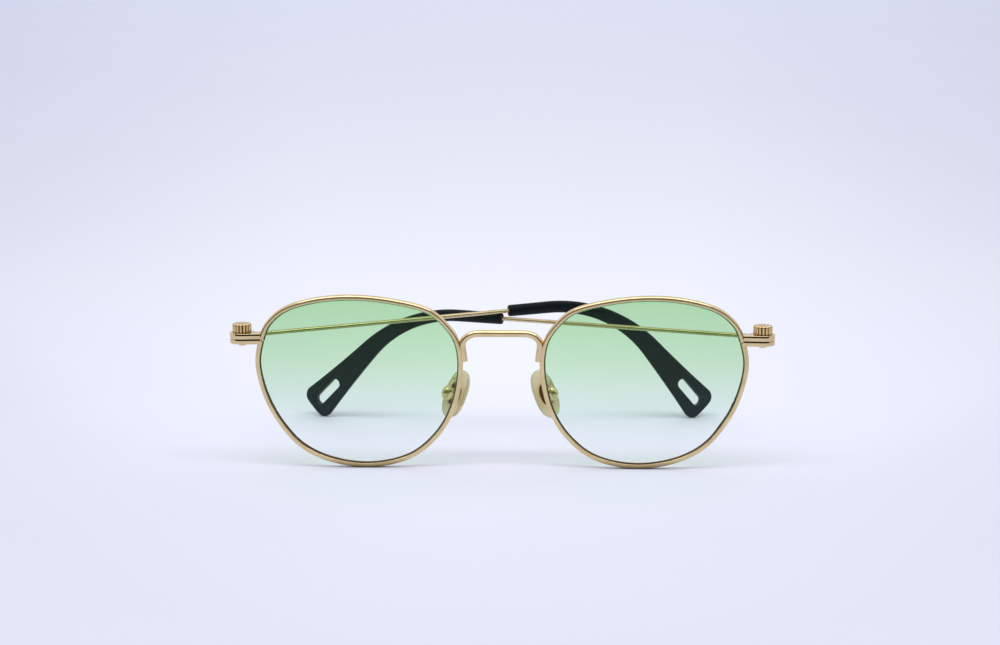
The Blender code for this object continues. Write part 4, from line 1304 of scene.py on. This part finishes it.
def make_pad_arm(side, sign, place):
    """The bent wire from the rim's back over the box to its middle."""
    root_x = sign * (nasal_edge(ARM_ROOT_Z) + RIM_WIDTH / 2)
    root_y = rim_depth(abs(root_x), ARM_ROOT_Z) + RIM_DEPTH / 2 - ARM_ROOT_SINK
    root = FRONT + Vector((root_x, root_y, ARM_ROOT_Z))
    high = BOX_HEIGHT / 2
    beside = -sign * BOX_HALF_WIDTH * ARM_ASIDE
    aside, back, up = ARM_JOINT
    joint = place @ Vector((beside * aside, -BOX_BACK * back, high * up))
    back, up = ARM_OVER
    over = place @ Vector((beside, -BOX_BACK * back, high + ARM_DIAMETER * up))
    share, up = ARM_KNEE
    knee = root.lerp(over, share) + Vector((0.0, 0.0, ARM_DIAMETER * up))
    points = [
        root,
        root + Vector((0.0, ARM_STRAIGHT, 0.0)),
        root + Vector((sign * ARM_DIAMETER * ARM_LEAN, ARM_STRAIGHT + ARM_LOOP, 0.0)),
        knee,
        over,
        joint,
    ]
    arm = tube(smooth_through(points, steps=16), ARM_DIAMETER / 2, sides=36, edge=ARM_EDGE_ROUND)
    piece(side + "_bent_arm", arm, "front", [side + "_pad_arm"], GOLD, angle=40.0)


for side, sign in SIDES.items():
    make_rim(side, sign)
    make_lens(side, sign)
    make_lug(side, sign, True)
    make_lug(side, sign, False)
    make_hinge_screw(side)
    make_temple(side, sign)
    place = pad_frame(side, sign)
    make_pad(side, sign, place)
    make_pad_mount(side, place)
    make_pad_screw(side, place)
    make_pad_box(side, place)
    make_pad_arm(side, sign, place)
make_bridge()


# Studio


def make_floor():
    half = FLOOR_HALF
    bm = bmesh.new()
    corners = [(-half, -half), (half, -half), (half, half), (-half, half)]
    bm.faces.new([bm.verts.new((x, y, 0.0)) for x, y in corners])
    loose("studio_floor", bm, floor_material())


def make_world():
    """A pale sky in soft bands, which rise behind the camera."""
    world = bpy.data.worlds.new("studio_world")
    bpy.context.scene.world = world
    world.use_nodes = True
    tree = world.node_tree
    axes = axes_of(tree, coordinates(tree, "Generated"))
    low, high = SKY_BEHIND
    behind = node(tree, "ShaderNodeMapRange", From_Min=low, From_Max=high, To_Max=SKY_RISE)
    tree.links.new(axes["Y"], behind.inputs["Value"])
    total = math_node(tree, "ADD", axes["Z"], behind.outputs["Result"])
    sky = ramp(tree, total, WORLD_BANDS)
    tree.links.new(sky, tree.nodes["Background"].inputs["Color"])


def make_light():
    lamp = bpy.data.lights.new("top_light", "AREA")
    lamp.shape = "RECTANGLE"
    lamp.size, lamp.size_y = LIGHT_SIZE
    lamp.energy = LIGHT_POWER
    made = placed("top_light", lamp)
    made.location = LIGHT_PLACE
    aim = Vector(LIGHT_AIM) - Vector(LIGHT_PLACE)
    made.rotation_euler = aim.to_track_quat("-Z", "Y").to_euler()


def make_camera():
    """The fitted view: it turns about the hinge line and frames the object as the picture does."""
    target = FRONT + Vector((0.0, 0.0, VIEW_HEIGHT))
    ahead = Vector(
        (
            math.sin(CAMERA_YAW) * math.cos(CAMERA_ELEVATION),
            math.cos(CAMERA_YAW) * math.cos(CAMERA_ELEVATION),
            -math.sin(CAMERA_ELEVATION),
        )
    )
    right = Vector((math.cos(CAMERA_YAW), -math.sin(CAMERA_YAW), 0.0))
    up = right.cross(ahead)
    axes = Matrix((right, up, -ahead)).transposed().to_4x4()
    tilt = math.atan((TARGET_PIXEL[1] - IMAGE_CENTRE[1]) / FOCAL_PIXELS)
    pan = math.atan((TARGET_PIXEL[0] - IMAGE_CENTRE[0]) / FOCAL_PIXELS)
    turn = Matrix.Rotation(pan, 4, "Y") @ Matrix.Rotation(tilt, 4, "X")
    turn = turn @ Matrix.Rotation(CAMERA_ROLL, 4, "Z")
    camera = bpy.data.cameras.new("studio_camera")
    camera.sensor_width = SENSOR_WIDTH
    camera.lens = FOCAL_PIXELS * camera.sensor_width / IMAGE_WIDTH
    camera.clip_start, camera.clip_end = CAMERA_CLIP
    made = placed("studio_camera", camera)
    made.matrix_world = Matrix.Translation(target - ahead * CAMERA_DISTANCE) @ axes @ turn
    bpy.context.scene.camera = made


make_floor()
make_world()
make_light()
make_camera()
bpy.context.scene.view_settings.view_transform = "Standard"
